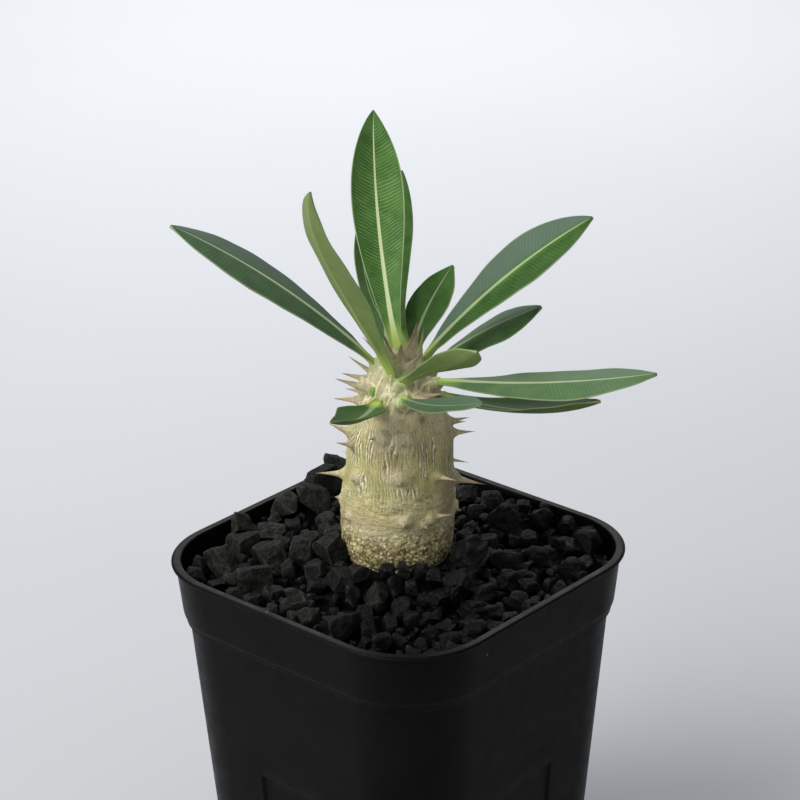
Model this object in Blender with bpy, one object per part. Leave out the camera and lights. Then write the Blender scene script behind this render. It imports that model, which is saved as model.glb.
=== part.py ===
"""Potted pachypodium: a spiny swollen stem with thirteen leaves in a square pot topped with gravel."""
import math
from random import Random

import bmesh
import bpy
import numpy as np
from mathutils import Vector

MM = 0.001
COLLECTION = "potted_pachypodium"
GAP = 0.0003

# Pot: half widths, corner radii and heights, in metres
POT_HEIGHT = 0.100
RIM_HALF = 0.0450
LIP_HEIGHT = 0.0012
COLLAR_TOP_HALF = 0.0441
COLLAR_BOTTOM_HALF = 0.0432
COLLAR_BOTTOM_Z = 0.0867
WALL_TOP_HALF = 0.0418
WALL_TOP_Z = 0.0856
WALL_BASE_HALF = 0.0353
WALL_THICKNESS = 0.0013
FLOOR_THICKNESS = 0.0015
RIM_CORNER = 0.0215
WALL_CORNER = 0.0198
BASE_CORNER = 0.0165
CORNER_STEPS = 6
PANEL_TOP_Z = 0.051
PANEL_HALF_WIDTH = 0.010
PANEL_DEPTH = 0.0006
PANEL_CUT_THICKNESS = 0.005
DRAIN_RADIUS = 0.0035
DRAIN_OFFSET = 0.019
EDGE_ROUNDING = 0.0006

# Inside, the step from wall to collar lies between these two heights
STEP_LOW = WALL_TOP_Z - 0.0004
STEP_HIGH = COLLAR_BOTTOM_Z + 0.0006

# The plant faces this way on the pot; its azimuths run anticlockwise from here
PLANT_FRONT = math.radians(-48.35)
STEM_RIGHT = -0.35 * MM
STEM_BACK = 2.5 * MM
STEM_LEAN = 0.038
STEM_LEAN_FROM = 0.103

# Stem outline from the root tip up to the crown: height and radius in millimetres
STEM_OUTLINE = (
    (55, 1.5), (65, 4.0), (80, 7.5), (90, 10.2), (96, 11.6), (99.5, 12.8), (102, 13.5), (106, 13.6),
    (110, 13.5), (114, 13.5), (118, 13.1), (122, 12.7), (126, 12.5), (129.5, 12.5), (132, 11.9),
    (134.5, 10.8), (137, 10.1), (140, 9.2), (143, 7.9), (146, 6.5), (148.2, 4.8), (149.6, 2.6),
)
STEM_TOP = 150.2
STEM_SIDES = 28
HOLE_RISE = 0.020

# Above the soil the stem's section swells unevenly: shares of the radius, and where that sets in
SWELL_TWICE = 0.012
SWELL_THRICE = 0.010
SWELL_FROM = 0.104
SWELL_OVER = 0.006

# Soil and gravel
MIX_TOP = 0.084
BED_TOP = 0.0932
BED_CELLS = 8
MOUND_HEIGHT = 0.0058
MOUND_FROM = 0.013
MOUND_REACH = 0.016
MOUNDS = ((-0.020, 0.032, 0.0055, 0.026), (0.030, 0.028, 0.0034, 0.036), (0.042, 0.004, 0.0022, 0.022))
STONE_GROWTH = (1.20, 1.22, 1.28)
STONE_RISE = 0.34
STONE_TAPER = (0.55, 1.0)
STONE_UNEVEN = (0.50, 1.0)
STONE_SLOPE = 0.25
STONE_ROLL = 0.5
STEM_CLEARANCE = 0.0138
FILL_STONES = 80
FILL_LENGTH = (4.4, 8.2)
FILL_SLENDER = (0.62, 0.95)
FILL_FLAT = (0.62, 0.85)
FILL_LIFT = 0.4
FILL_SPACING = 0.27
FILL_REACH = 0.042
FILL_TRIES = 9000

# Larger stones as seen from the plant's front, in millimetres:
# right, back, length, breadth, height, turn in degrees, lift above the bed
STONES = (
    (-12.5, -31, 10.5, 8, 6, 15, 0.5), (-43.5, 0.5, 9, 9, 7, 70, 1.0), (-34.5, -8, 8, 8, 7, 0, 0.5),
    (-30.5, 4.5, 10, 8, 7, 110, 0.6), (-22.5, 3, 9, 8, 7, 80, 0.6), (-38, 11, 8, 7, 6, 30, 1.0),
    (-19, -8, 7.5, 5.5, 5.5, 60, 0.5), (-16, -3, 10, 7, 7, 130, 1.5), (-14, -13.5, 8, 6, 5.5, 100, 0.9),
    (-9.5, -13.5, 6.5, 5, 5, 20, 1.2), (-11, -19, 7, 4.5, 5, 85, 0.3), (-5, -19.5, 9, 5, 5, 95, 0.3),
    (-25.5, -20, 8, 4.5, 4.5, 10, 0.2), (-21.5, -26, 7, 5.5, 4.5, 5, 0.2), (-39, 19, 7, 6, 6, 40, 1.6),
    (-28, 28, 8, 8, 6, 0, 0.4), (-21, 27, 10, 7, 6, 10, 0.6), (-19, 36, 10, 7.5, 7, 20, 0.6),
    (-15.5, 42, 7, 5, 6, 160, 2.8), (-18, 15.5, 6.5, 4.5, 5, 60, 0.3), (-31, 17, 9, 6, 5, 0, 0.5),
    (-48, 2, 6.5, 4.5, 5, 90, 0.0), (16.5, -6, 9.5, 7.5, 8, 70, 1.2), (14, -17, 9, 5.5, 6, 80, 0.5),
    (25.5, -0.5, 8.5, 5.5, 5, 0, 0.3), (34.5, 0, 9.5, 6, 5.5, 155, 0.5), (27, -10, 10.5, 6, 6, 20, 0.5),
    (31, -12.5, 7, 4.5, 5, 25, 0.3), (41.5, -4.5, 6, 5, 5, 140, 0.3), (46, 6.5, 8.5, 7, 6.5, 150, 1.2),
    (42, 15, 5, 5, 5, 0, 0.8), (35, 18, 8, 6, 6, 140, 1.0), (26.5, 18.5, 8.5, 7.5, 7, 30, 1.2),
    (31.5, 26, 4.5, 4, 4, 0, 0.5), (24, 30, 7, 5, 4.5, 10, 0.5), (17.5, 34, 6.5, 5, 4.5, 5, 0.5),
    (37, 24, 5, 4, 4, 0, 0.5), (45.5, 13, 6, 4, 4, 160, 0.8), (32, 9.5, 6, 5, 5, 0, 0.5),
    (19.5, -16.5, 6, 6, 5, 30, 0.2), (20, -25.5, 13, 5, 5, 15, 0.0), (17, -33.5, 7.5, 4.5, 4.5, 15, 0.0),
    (11, -37, 5, 4.5, 4, 20, 0.0), (6.5, -34, 7, 5, 4.5, 80, 0.0), (2.5, -27.5, 6, 4.5, 4.5, 90, 0.0),
    (-2.5, -29.5, 6, 3.5, 4, 95, 0.0), (3, -17, 4, 3.5, 4, 90, 0.6), (9, -20, 6, 5, 4.5, 40, 0.2),
    (9, -14.5, 4.5, 4, 4, 150, 1.4), (5.5, -13.5, 5, 3.5, 4, 170, 1.5), (1, -13.5, 3.5, 3.5, 4, 0, 1.8),
    (-3, -13.5, 4, 3.5, 4, 0, 1.6), (-1.5, -17, 6, 4.5, 4.5, 60, 0.5),
)

# Spines: azimuth from the front, height, length, rise and turn in degrees, root radius, flatness;
# lengths in millimetres, flatness 0 for a round spine and 1 for a broad scale of the crown
SPINES = (
    (-100, 144.7, 7.0, 35, 0, 1.5, 0.5), (-85, 143.6, 7.0, 20, 0, 2.3, 0.8),
    (-78, 142.2, 8.2, 20, 0, 2.4, 0.8), (-95, 140.7, 5.4, 20, 0, 1.6, 0.4),
    (-104, 139.6, 4.4, 4, 0, 1.5, 0.3), (-88, 138.4, 6.4, 8, 0, 2.1, 0.5),
    (-118, 147.4, 7.0, 62, 0, 1.4, 0.6), (-72, 148.7, 8.5, 50, -10, 1.9, 0.8),
    (-41, 149.3, 9.4, 66, 0, 1.7, 0.8), (35, 149.2, 9.4, 80, 60, 2.4, 1.0),
    (75, 148.6, 9.4, 82, 20, 1.5, 0.8), (-5, 149.0, 4.4, 78, 0, 1.6, 0.8),
    (16, 148.2, 6.0, 50, 44, 1.8, 0.8), (31, 142.0, 7.0, 13, 46, 2.2, 0.6),
    (18, 142.6, 5.6, 0, 38, 2.0, 0.8), (50, 140.2, 3.8, 8, 40, 1.6, 0.6),
    (-92, 130.1, 5.2, 23, 0, 1.5, 0.2), (-72, 130.9, 5.0, 32, 0, 1.4, 0.2),
    (-62, 129.3, 5.0, 17, 0, 1.7, 0.1), (-90, 119.2, 7.2, 4, 0, 2.0, 0.0),
    (-88, 113.0, 1.9, 12, 0, 1.7, 0.0), (95, 132.2, 5.0, 8, 0, 1.5, 0.2),
    (102, 131.2, 4.2, -4, 0, 1.4, 0.1), (86, 130.0, 5.6, 5, 0, 1.9, 0.1),
    (112, 120.6, 6.0, -20, 0, 1.2, 0.0), (84, 118.4, 8.0, -12, 0, 2.3, 0.0),
    (86, 110.5, 2.2, -30, 0, 1.6, 0.0), (45, 122.4, 6.4, 5, 4, 1.7, 0.0),
    (-25, 133.0, 3.0, 5, -39, 1.8, 0.1), (2, 132.4, 1.7, -5, 0, 2.1, 0.0),
    (1, 122.9, 2.1, -8, 0, 1.9, 0.0), (39, 112.6, 4.6, 8, 38, 1.8, 0.0),
    (6, 112.4, 2.2, -8, -10, 1.7, 0.0), (27, 111.1, 1.7, -10, 0, 1.6, 0.0),
    (-52, 121.4, 1.8, 0, 0, 1.6, 0.0), (-60, 111.0, 1.6, 0, 0, 1.5, 0.0),
)
BACK_SPINE_ROWS = (112.5, 119.0, 125.0, 131.5, 137.5, 142.5)
BACK_SPINE_PAIR = 14
SPINE_SIDES = 5
SPINE_FLATTENING = 0.6
SPINE_ROOT_DEPTH = 1.2 * MM
SPINE_WAIST = 0.9 * MM

# Leaves, seen from the plant's front. Base: azimuth, distance from the stem's axis and height.
# Run: heading, turn along the leaf, rise at base and at tip.
# Blade: length, width, roll at base and at tip, trough depth.
LEAVES = (
    ((201, 3.8, 150.4), (193.5, -14.5, 45, 42), (63.5, 13, -19, 21, 0.35)),
    ((-23.5, 6.7, 148.0), (-66, 74, 63.5, 45), (69.5, 17, 17, -69, 0.14)),
    ((-92, 6.7, 148.1), (-85, 8, 47.5, 30), (59.5, 14, -18, -18, -0.1)),
    ((170, 5.5, 149.0), (198, -37, 15, 40), (59, 12.2, -20, 10, 0.3)),
    ((220, 6.0, 148.4), (178, 18, 1, 33), (55, 11.3, -2, 20, 0.2)),
    ((156.5, 7.3, 147.7), (175, -40, 19, 39), (28, 11.8, -7, -11, 0.1)),
    ((94.5, 5.3, 148.7), (94, -2, 51, 30.5), (52, 15.2, 12, 29, 0.1)),
    ((127.5, 9.5, 144.7), (100.5, -29.5, 36, 25), (30, 12.7, 4, 17, -0.2)),
    ((0.5, 7.2, 146.5), (29.5, -11.5, 26, 31), (46, 9.2, -5, -36, 0.2)),
    ((61, 10.2, 145.1), (63.5, 12, 5.5, 13.5), (53, 13.4, 11, 8, -0.1)),
    ((71.5, 10.6, 140.4), (72, -27, -11, 31.5), (43, 12.6, 0, -10, 0.3)),
    ((4, 10.5, 142.7), (16, 32.5, 14.5, 22), (34.5, 8.8, 5, 15, 0.1)),
    ((-34.5, 10.5, 140.6), (-18.5, -20, -5, 29), (21.5, 11.7, -6, -5, 0.35)),
)
ROLL_SETS_IN = 8
LEAF_STEPS = 120
LEAF_ROWS = (0, 0.06, 0.14, 0.22, 0.30, 0.38, 0.46, 0.54, 0.62, 0.70, 0.78, 0.86, 0.93, 0.975, 1.0)
LEAF_COLUMNS = (-1.0, -0.5, 0.0, 0.5, 1.0)
LEAF_WIDEST = 0.62
PETIOLE_SHARE = 0.24
EDGE_THICKNESS = 0.0006
CUSHION_SINK = 3.2 * MM
CUSHION_ROOT_DEPTH = 2.5 * MM
CUSHION_SIDES = 10
CUSHION_RINGS = ((0.0, 2.6, 2.6), (0.55, 2.3, 2.0), (1.0, 1.9, 1.3))

COLOURS = {
    "black_plastic": ((0.017, 0.017, 0.018), 0.42),
    "potting_soil": ((0.045, 0.030, 0.020), 0.95),
    "lava_gravel": ((0.045, 0.046, 0.048), 0.90),
    "pale_bark": ((0.36, 0.33, 0.20), 0.75),
    "leaf_green": ((0.075, 0.145, 0.048), 0.50),
}


def clear_scene():
    for item in list(bpy.data.objects):
        bpy.data.objects.remove(item, do_unlink=True)


def new_collection(name, hidden=False):
    collection = bpy.data.collections.new(name)
    bpy.context.scene.collection.children.link(collection)
    collection.hide_render = hidden
    return collection


def material(name):
    colour, roughness = COLOURS[name]
    found = bpy.data.materials.get(name)
    if found:
        return found
    made = bpy.data.materials.new(name)
    made.use_nodes = True
    shader = made.node_tree.nodes["Principled BSDF"]
    shader.inputs["Base Color"].default_value = (*colour, 1.0)
    shader.inputs["Roughness"].default_value = roughness
    shader.inputs["Metallic"].default_value = 0.0
    made.diffuse_color = (*colour, 1.0)
    return made


def mesh_object(name, mesh_data, collection, slot=None):
    mesh = bpy.data.meshes.new(name)
    mesh_data.to_mesh(mesh)
    mesh_data.free()
    item = bpy.data.objects.new(name, mesh)
    collection.objects.link(item)
    if slot:
        mesh.materials.append(material(slot))
    return item


def loft(rings):
    """Skin a row of closed rings that all have the same number of points, and cap both ends."""
    body = bmesh.new()
    layers = [[body.verts.new(point) for point in ring] for ring in rings]
    count = len(rings[0])
    for lower, upper in zip(layers, layers[1:]):
        for index in range(count):
            after = (index + 1) % count
            body.faces.new((lower[index], lower[after], upper[after], upper[index]))
    body.faces.new(list(reversed(layers[0])))
    body.faces.new(layers[-1])
    bmesh.ops.recalc_face_normals(body, faces=body.faces)
    return body


def apply_boolean(target, operation, operand=None, group=None, solver="EXACT"):
    """Run one Boolean on the target and keep its result as the target's own mesh."""
    modifier = target.modifiers.new("Boolean", "BOOLEAN")
    modifier.operation = operation
    modifier.solver = solver
    if group:
        modifier.operand_type = "COLLECTION"
        modifier.collection = group
    else:
        modifier.object = operand
    bpy.context.view_layer.update()
    graph = bpy.context.evaluated_depsgraph_get()
    result = bpy.data.meshes.new_from_object(target.evaluated_get(graph))
    target.modifiers.remove(modifier)
    target.data = result


def keep_outer_shell(item):
    """Drop loose shells and inner pockets, keeping the connected body that spans the most."""
    body = bmesh.new()
    body.from_mesh(item.data)
    left = set(body.verts)
    shells = []
    while left:
        seed = left.pop()
        shell = {seed}
        border = [seed]
        while border:
            for edge in border.pop().link_edges:
                for vert in edge.verts:
                    if vert in left:
                        left.remove(vert)
                        shell.add(vert)
                        border.append(vert)
        shells.append(shell)
    shells.sort(key=len, reverse=True)
    for shell in shells[1:]:
        bmesh.ops.delete(body, geom=list(shell), context="VERTS")
    body.to_mesh(item.data)
    body.free()


def remove_group(collection):
    for item in list(collection.objects):
        bpy.data.objects.remove(item, do_unlink=True)
    bpy.data.collections.remove(collection)


# Frames of the pot and of the plant

def seen_from_front(right, back, height):
    """Point given by its distance right of and behind the pot's centre, as seen from the front."""
    across = PLANT_FRONT + math.pi / 2
    return Vector((
        right * math.cos(across) - back * math.cos(PLANT_FRONT),
        right * math.sin(across) - back * math.sin(PLANT_FRONT),
        height,
    ))


def front_axes(x, y):
    """Distances right of and behind the pot's centre of a point on the pot's own axes."""
    across = PLANT_FRONT + math.pi / 2
    right = x * math.cos(across) + y * math.sin(across)
    back = -(x * math.cos(PLANT_FRONT) + y * math.sin(PLANT_FRONT))
    return right, back


def direction(azimuth, rise):
    turned = PLANT_FRONT + math.radians(azimuth)
    lift = math.radians(rise)
    return Vector((math.cos(turned) * math.cos(lift), math.sin(turned) * math.cos(lift), math.sin(lift)))


def stem_centre(height):
    lean = max(0.0, height - STEM_LEAN_FROM) * STEM_LEAN
    return seen_from_front(STEM_RIGHT + lean, STEM_BACK, height)


def stem_radius(height):
    heights = [entry[0] * MM for entry in STEM_OUTLINE] + [STEM_TOP * MM]
    radii = [entry[1] * MM for entry in STEM_OUTLINE] + [0.0]
    return float(np.interp(height, heights, radii))


# Pot

def rounded_square(half, corner, height):
    points = []
    for quarter in range(4):
        x_sign = (1, -1, -1, 1)[quarter]
        y_sign = (1, 1, -1, -1)[quarter]
        for step in range(CORNER_STEPS + 1):
            angle = math.radians(90 * quarter + 90 * step / CORNER_STEPS)
            points.append(Vector((
                (half - corner) * x_sign + corner * math.cos(angle),
                (half - corner) * y_sign + corner * math.sin(angle),
                height,
            )))
    return points


def wall_corner(height):
    return BASE_CORNER + (WALL_CORNER - BASE_CORNER) * height / WALL_TOP_Z


def inner_half(height):
    """Half width of the pot's hollow at a height."""
    heights = (FLOOR_THICKNESS, STEP_LOW, STEP_HIGH, POT_HEIGHT - LIP_HEIGHT)
    outer_halves = (WALL_BASE_HALF, WALL_TOP_HALF, COLLAR_BOTTOM_HALF, COLLAR_TOP_HALF)
    return float(np.interp(height, heights, outer_halves)) - WALL_THICKNESS


def build_pot(collection, cutters):
    top = POT_HEIGHT
    outer = (
        (WALL_BASE_HALF - EDGE_ROUNDING, BASE_CORNER, 0.0),
        (WALL_BASE_HALF, BASE_CORNER, EDGE_ROUNDING),
        (WALL_TOP_HALF, WALL_CORNER, WALL_TOP_Z),
        (COLLAR_BOTTOM_HALF, RIM_CORNER - 0.0004, COLLAR_BOTTOM_Z),
        (COLLAR_TOP_HALF, RIM_CORNER - 0.0002, top - LIP_HEIGHT - 0.0003),
        (RIM_HALF, RIM_CORNER, top - LIP_HEIGHT),
        (RIM_HALF, RIM_CORNER, top - 0.0004),
        (RIM_HALF - 0.0005, RIM_CORNER, top),
    )
    inner = [(inner_half(top) + 0.0003, RIM_CORNER - 0.0012, top)]
    for height in (top - 0.0005, STEP_HIGH, STEP_LOW, FLOOR_THICKNESS):
        inner.append((inner_half(height), wall_corner(min(height, WALL_TOP_Z)) - 0.0008, height))
    pot = mesh_object("pot", loft([rounded_square(*ring) for ring in [*outer, *inner]]), collection,
                      "black_plastic")
    for item in (*panel_cutters(cutters), *drain_cutters(cutters)):
        apply_boolean(pot, "DIFFERENCE", item, solver="MANIFOLD")
    return pot


def panel_cutters(cutters):
    """One thin tilted box for each side, sunk into the wall's lower half."""
    slope = (WALL_TOP_HALF - WALL_BASE_HALF) / WALL_TOP_Z
    below = -0.002
    made = []
    for side in range(4):
        body = bmesh.new()
        corners = []
        for height in (below, PANEL_TOP_Z):
            face = WALL_BASE_HALF + slope * height - PANEL_DEPTH
            for across in (-PANEL_HALF_WIDTH, PANEL_HALF_WIDTH):
                corners.append(body.verts.new((face, across, height)))
                corners.append(body.verts.new((face + PANEL_CUT_THICKNESS, across, height)))
        bmesh.ops.convex_hull(body, input=corners)
        box = mesh_object(f"panel_cutter_{side}", body, cutters)
        box.rotation_euler.z = math.radians(90 * side)
        box.display_type = "WIRE"
        made.append(box)
    return made


def drain_cutters(cutters):
    made = []
    for side in range(4):
        body = bmesh.new()
        bmesh.ops.create_cone(body, cap_ends=True, segments=16, radius1=DRAIN_RADIUS,
                              radius2=DRAIN_RADIUS, depth=4 * FLOOR_THICKNESS)
        drain = mesh_object(f"drain_cutter_{side}", body, cutters)
        angle = math.radians(45 + 90 * side)
        drain.location = (DRAIN_OFFSET * math.cos(angle), DRAIN_OFFSET * math.sin(angle), 0.0)
        drain.display_type = "WIRE"
        made.append(drain)
    return made


# Stem, also as a cutter for the holes in soil and gravel

def stem_ring(height, grow):
    """Slightly uneven round section; the cutter for its hole is the same section grown by a gap."""
    centre = stem_centre(height)
    above_soil = min(1.0, max(0.0, (height - SWELL_FROM) / SWELL_OVER))
    points = []
    for step in range(STEM_SIDES):
        angle = 2 * math.pi * step / STEM_SIDES
        swell = 1 + above_soil * (SWELL_TWICE * math.sin(2 * angle + 0.7)
                                  + SWELL_THRICE * math.sin(3 * angle + height * 90))
        radius = stem_radius(height) * swell + grow
        points.append(centre + Vector((radius * math.cos(angle), radius * math.sin(angle), 0)))
    return points


def stem_hole(cutters):
    heights = [entry[0] * MM for entry in STEM_OUTLINE if entry[0] * MM < SWELL_FROM]
    rings = [stem_ring(height, GAP) for height in heights]
    rings.insert(0, [point - Vector((0, 0, GAP)) for point in rings[0]])
    rings.append([point + Vector((0, 0, HOLE_RISE)) for point in rings[-1]])
    hole = mesh_object("stem_hole_cutter", loft(rings), cutters)
    hole.display_type = "WIRE"
    return hole


def spine(base, heading, across, length, root, flat):
    """Spine with a flared root that starts inside the stem; those of the crown are broad and flat."""
    side = (across - heading * across.dot(heading)).normalized()
    other = heading.cross(side) * (1 - SPINE_FLATTENING * flat)
    rings = []
    for offset, width in ((-SPINE_ROOT_DEPTH, 1.05), (SPINE_WAIST, 0.62 + 0.25 * flat), (length, 0.06)):
        centre = base + heading * offset
        ring = []
        for step in range(SPINE_SIDES):
            angle = 2 * math.pi * step / SPINE_SIDES
            ring.append(centre + root * width * (side * math.cos(angle) + other * math.sin(angle)))
        rings.append(ring)
    return loft(rings)


def spine_list():
    """Spines seen from the front, and pairs on the far side set by a turning rule."""
    listed = list(SPINES)
    draw = Random(11)
    for row, height in enumerate(BACK_SPINE_ROWS):
        for place in range(2):
            azimuth = 135 + 60 * place + 25 * (row % 2)
            for turn in (-BACK_SPINE_PAIR, BACK_SPINE_PAIR):
                listed.append((azimuth + turn * 0.4, height + draw.uniform(-0.8, 0.8), draw.uniform(3.0, 5.5),
                               draw.uniform(0, 20), turn, draw.uniform(1.3, 1.8), 0.0))
    return listed


def build_spine(index, entry, collection):
    azimuth, height, length, rise, turn, root, flat = entry
    surface = stem_centre(height * MM) + direction(azimuth, 0) * stem_radius(height * MM) * 0.985
    mesh_object(f"spine_{index}", spine(surface, direction(azimuth + turn, rise), direction(azimuth + 90, 0),
                                        length * MM, root * MM, flat), collection)


def cushion(spec):
    """Leaf cushion: a short stub from inside the stem to just short of the leaf's foot."""
    azimuth, _reach, height = spec[0]
    foot, along, side, normal = leaf_frames(spec, (0.0,))[0]
    root_height = height * MM - CUSHION_SINK
    root_reach = max(0.0, stem_radius(root_height) - CUSHION_ROOT_DEPTH)
    root = stem_centre(root_height) + direction(azimuth, 0) * root_reach
    end = foot - along * GAP
    rings = []
    for share, wide, thick in CUSHION_RINGS:
        centre = root.lerp(end, share)
        ring = []
        for step in range(CUSHION_SIDES):
            angle = 2 * math.pi * step / CUSHION_SIDES
            ring.append(centre + side * wide * MM * math.cos(angle) + normal * thick * MM * math.sin(angle))
        rings.append(ring)
    return loft(rings)


def build_stem(collection):
    rings = [stem_ring(entry[0] * MM, 0) for entry in STEM_OUTLINE]
    centre_top = stem_centre(STEM_TOP * MM)
    rings.append([centre_top.lerp(Vector((point.x, point.y, centre_top.z)), 0.25) for point in rings[-1]])
    stem = mesh_object("stem", loft(rings), collection, "pale_bark")
    growths = new_collection("stem_growths")
    for index, entry in enumerate(spine_list()):
        build_spine(index, entry, growths)
    for index, spec in enumerate(LEAVES):
        mesh_object(f"cushion_{index}", cushion(spec), growths)
    apply_boolean(stem, "UNION", group=growths, solver="MANIFOLD")
    remove_group(growths)
    keep_outer_shell(stem)
    return stem


# Leaves

def leaf_frames(spec, shares):
    """Midrib point, heading, side and upward normal at each share of the leaf's length."""
    (azimuth, reach, height), (heading, turn, rise, tip_rise), blade = spec
    length, _width, roll, tip_roll, _trough = blade
    pace = length * MM / LEAF_STEPS
    point = stem_centre(height * MM) + direction(azimuth, 0) * reach * MM
    points = [point.copy()]
    for step in range(LEAF_STEPS):
        share = (step + 0.5) / LEAF_STEPS
        point = point + direction(heading + turn * share, rise + (tip_rise - rise) * share) * pace
        points.append(point.copy())
    frames = []
    for share in shares:
        along = direction(heading + turn * share, rise + (tip_rise - rise) * share)
        level = direction(heading + turn * share + 90, 0)
        upward = along.cross(level)
        rolled = math.radians(roll + (tip_roll - roll) * share) * min(1.0, share * ROLL_SETS_IN)
        side = level * math.cos(rolled) + upward * math.sin(rolled)
        normal = upward * math.cos(rolled) - level * math.sin(rolled)
        frames.append((points[round(share * LEAF_STEPS)], along, side, normal))
    return frames


def blade_share(share):
    """Half width along the leaf as a share of the greatest half width."""
    if share < LEAF_WIDEST:
        return PETIOLE_SHARE + (1 - PETIOLE_SHARE) * math.sin(math.pi / 2 * share / LEAF_WIDEST) ** 1.5
    past = (share - LEAF_WIDEST) / (1 - LEAF_WIDEST)
    return max(1 - past ** 2, 0.04) ** 0.85


def rib_thickness(share):
    return float(np.interp(share, (0, 0.12, 0.35, 1.0), (1.7, 1.5, 1.0, 0.7))) * MM


def build_leaf(name, spec, collection):
    """Trough-shaped blade with a thick midrib, closed by a matching upper and lower skin."""
    width, trough = spec[2][1], spec[2][-1]
    body = bmesh.new()
    upper = []
    lower = []
    for share, (centre, _along, side, normal) in zip(LEAF_ROWS, leaf_frames(spec, LEAF_ROWS)):
        half = blade_share(share) * width / 2 * MM
        upper_row = []
        lower_row = []
        for column in LEAF_COLUMNS:
            middle = centre + side * column * half + normal * trough * half * abs(column) ** 1.5
            thick = EDGE_THICKNESS + (rib_thickness(share) - EDGE_THICKNESS) * max(0.0, 1 - 1.7 * abs(column))
            upper_row.append(body.verts.new(middle + normal * thick / 2))
            lower_row.append(body.verts.new(middle - normal * thick / 2))
        upper.append(upper_row)
        lower.append(lower_row)
    last = len(LEAF_COLUMNS) - 1
    for row in range(len(LEAF_ROWS) - 1):
        for column in range(last):
            for skin, turned in ((upper, False), (lower, True)):
                a, b = skin[row][column], skin[row][column + 1]
                c, d = skin[row + 1][column + 1], skin[row + 1][column]
                for face in ((a, b, c), (a, c, d)):
                    body.faces.new(tuple(reversed(face)) if turned else face)
        for column in (0, last):
            body.faces.new((upper[row][column], upper[row + 1][column],
                            lower[row + 1][column], lower[row][column]))
    for row in (0, len(LEAF_ROWS) - 1):
        for column in range(last):
            body.faces.new((upper[row][column], lower[row][column],
                            lower[row][column + 1], upper[row][column + 1]))
    bmesh.ops.recalc_face_normals(body, faces=body.faces)
    bmesh.ops.triangulate(body, faces=[face for face in body.faces if len(face.verts) > 3])
    return mesh_object(name, body, collection, "leaf_green")


# Soil and gravel

def filling_rings(heights, shrink):
    """Sections of the pot's hollow, drawn in by a gap."""
    return [rounded_square(inner_half(height) - shrink, wall_corner(min(height, WALL_TOP_Z)) - 0.0009, height)
            for height in heights]


def build_potting_mix(collection, hole):
    heights = (FLOOR_THICKNESS + GAP, 0.045, MIX_TOP)
    mix = mesh_object("potting_mix", loft(filling_rings(heights, GAP)), collection, "potting_soil")
    apply_boolean(mix, "DIFFERENCE", hole)
    return mix


def bed_height(right, back):
    """Height of the gravel bed: low at the walls, mounded round the stem and at the back."""
    stem_distance = math.hypot(right - STEM_RIGHT, back - STEM_BACK)
    mound = MOUND_HEIGHT * min(1.0, max(0.0, 1 - (stem_distance - MOUND_FROM) / MOUND_REACH))
    for at_right, at_back, height, reach in MOUNDS:
        mound = max(mound, height * (1 - math.hypot(right - at_right, back - at_back) / reach))
    return BED_TOP + mound


def gravel_bed():
    """Slab over the whole pot, flat below, whose top follows the bed's height."""
    body = bmesh.new()
    bmesh.ops.create_grid(body, x_segments=BED_CELLS, y_segments=BED_CELLS, size=RIM_HALF + 0.001)
    raised = bmesh.ops.extrude_face_region(body, geom=body.faces[:])["geom"]
    top = {item for item in raised if isinstance(item, bmesh.types.BMVert)}
    for vert in body.verts:
        vert.co.z = bed_height(*front_axes(vert.co.x, vert.co.y)) if vert in top else MIX_TOP + GAP
    bmesh.ops.triangulate(body, faces=body.faces)
    bmesh.ops.recalc_face_normals(body, faces=body.faces)
    return body


def inside_hollow(x, y, margin):
    """Whether a point lies inside the pot's hollow at the gravel's height, less a margin."""
    half = inner_half(BED_TOP) - margin
    corner = WALL_CORNER - margin
    out_x = max(0.0, abs(x) - (half - corner))
    out_y = max(0.0, abs(y) - (half - corner))
    return math.hypot(out_x, out_y) <= corner


def stone_corners(right, back, length, breadth, height, turn, lift, draw):
    """Corners of a blocky stone with uneven, tapered sides, tilted, turned and part sunk in the bed."""
    tapers = draw.uniform(*STONE_TAPER), draw.uniform(*STONE_TAPER)
    slope = draw.uniform(-STONE_SLOPE, STONE_SLOPE)
    roll = draw.uniform(-STONE_ROLL, STONE_ROLL)
    turned = math.radians(turn)
    centre_height = bed_height(right, back) + lift + height * STONE_RISE
    corners = []
    for level in (-1, 1):
        along_taper, across_taper = tapers if level > 0 else (1.0, 1.0)
        for side in (-1, 1):
            for end in (-1, 1):
                along = end * along_taper * draw.uniform(*STONE_UNEVEN) * length / 2
                level_across = side * across_taper * draw.uniform(*STONE_UNEVEN) * breadth / 2
                level_up = level * draw.uniform(*STONE_UNEVEN) * height / 2
                across = level_across * math.cos(roll) - level_up * math.sin(roll)
                up = level_across * math.sin(roll) + level_up * math.cos(roll) + along * slope
                corners.append(seen_from_front(right + along * math.cos(turned) - across * math.sin(turned),
                                               back + along * math.sin(turned) + across * math.cos(turned),
                                               centre_height + up))
    return corners


def stone(entry, draw):
    body = bmesh.new()
    for corner in stone_corners(*entry, draw):
        body.verts.new(corner)
    hull = bmesh.ops.convex_hull(body, input=body.verts)
    bmesh.ops.delete(body, geom=hull["geom_interior"], context="VERTS")
    bmesh.ops.recalc_face_normals(body, faces=body.faces)
    return body


def crowded(right, back, length, other):
    """Whether a stone of this length would lie too close to another of the list."""
    spacing = FILL_SPACING * (length + (other[2] + other[3]) / 2)
    return math.hypot(right - other[0], back - other[1]) < spacing


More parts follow.
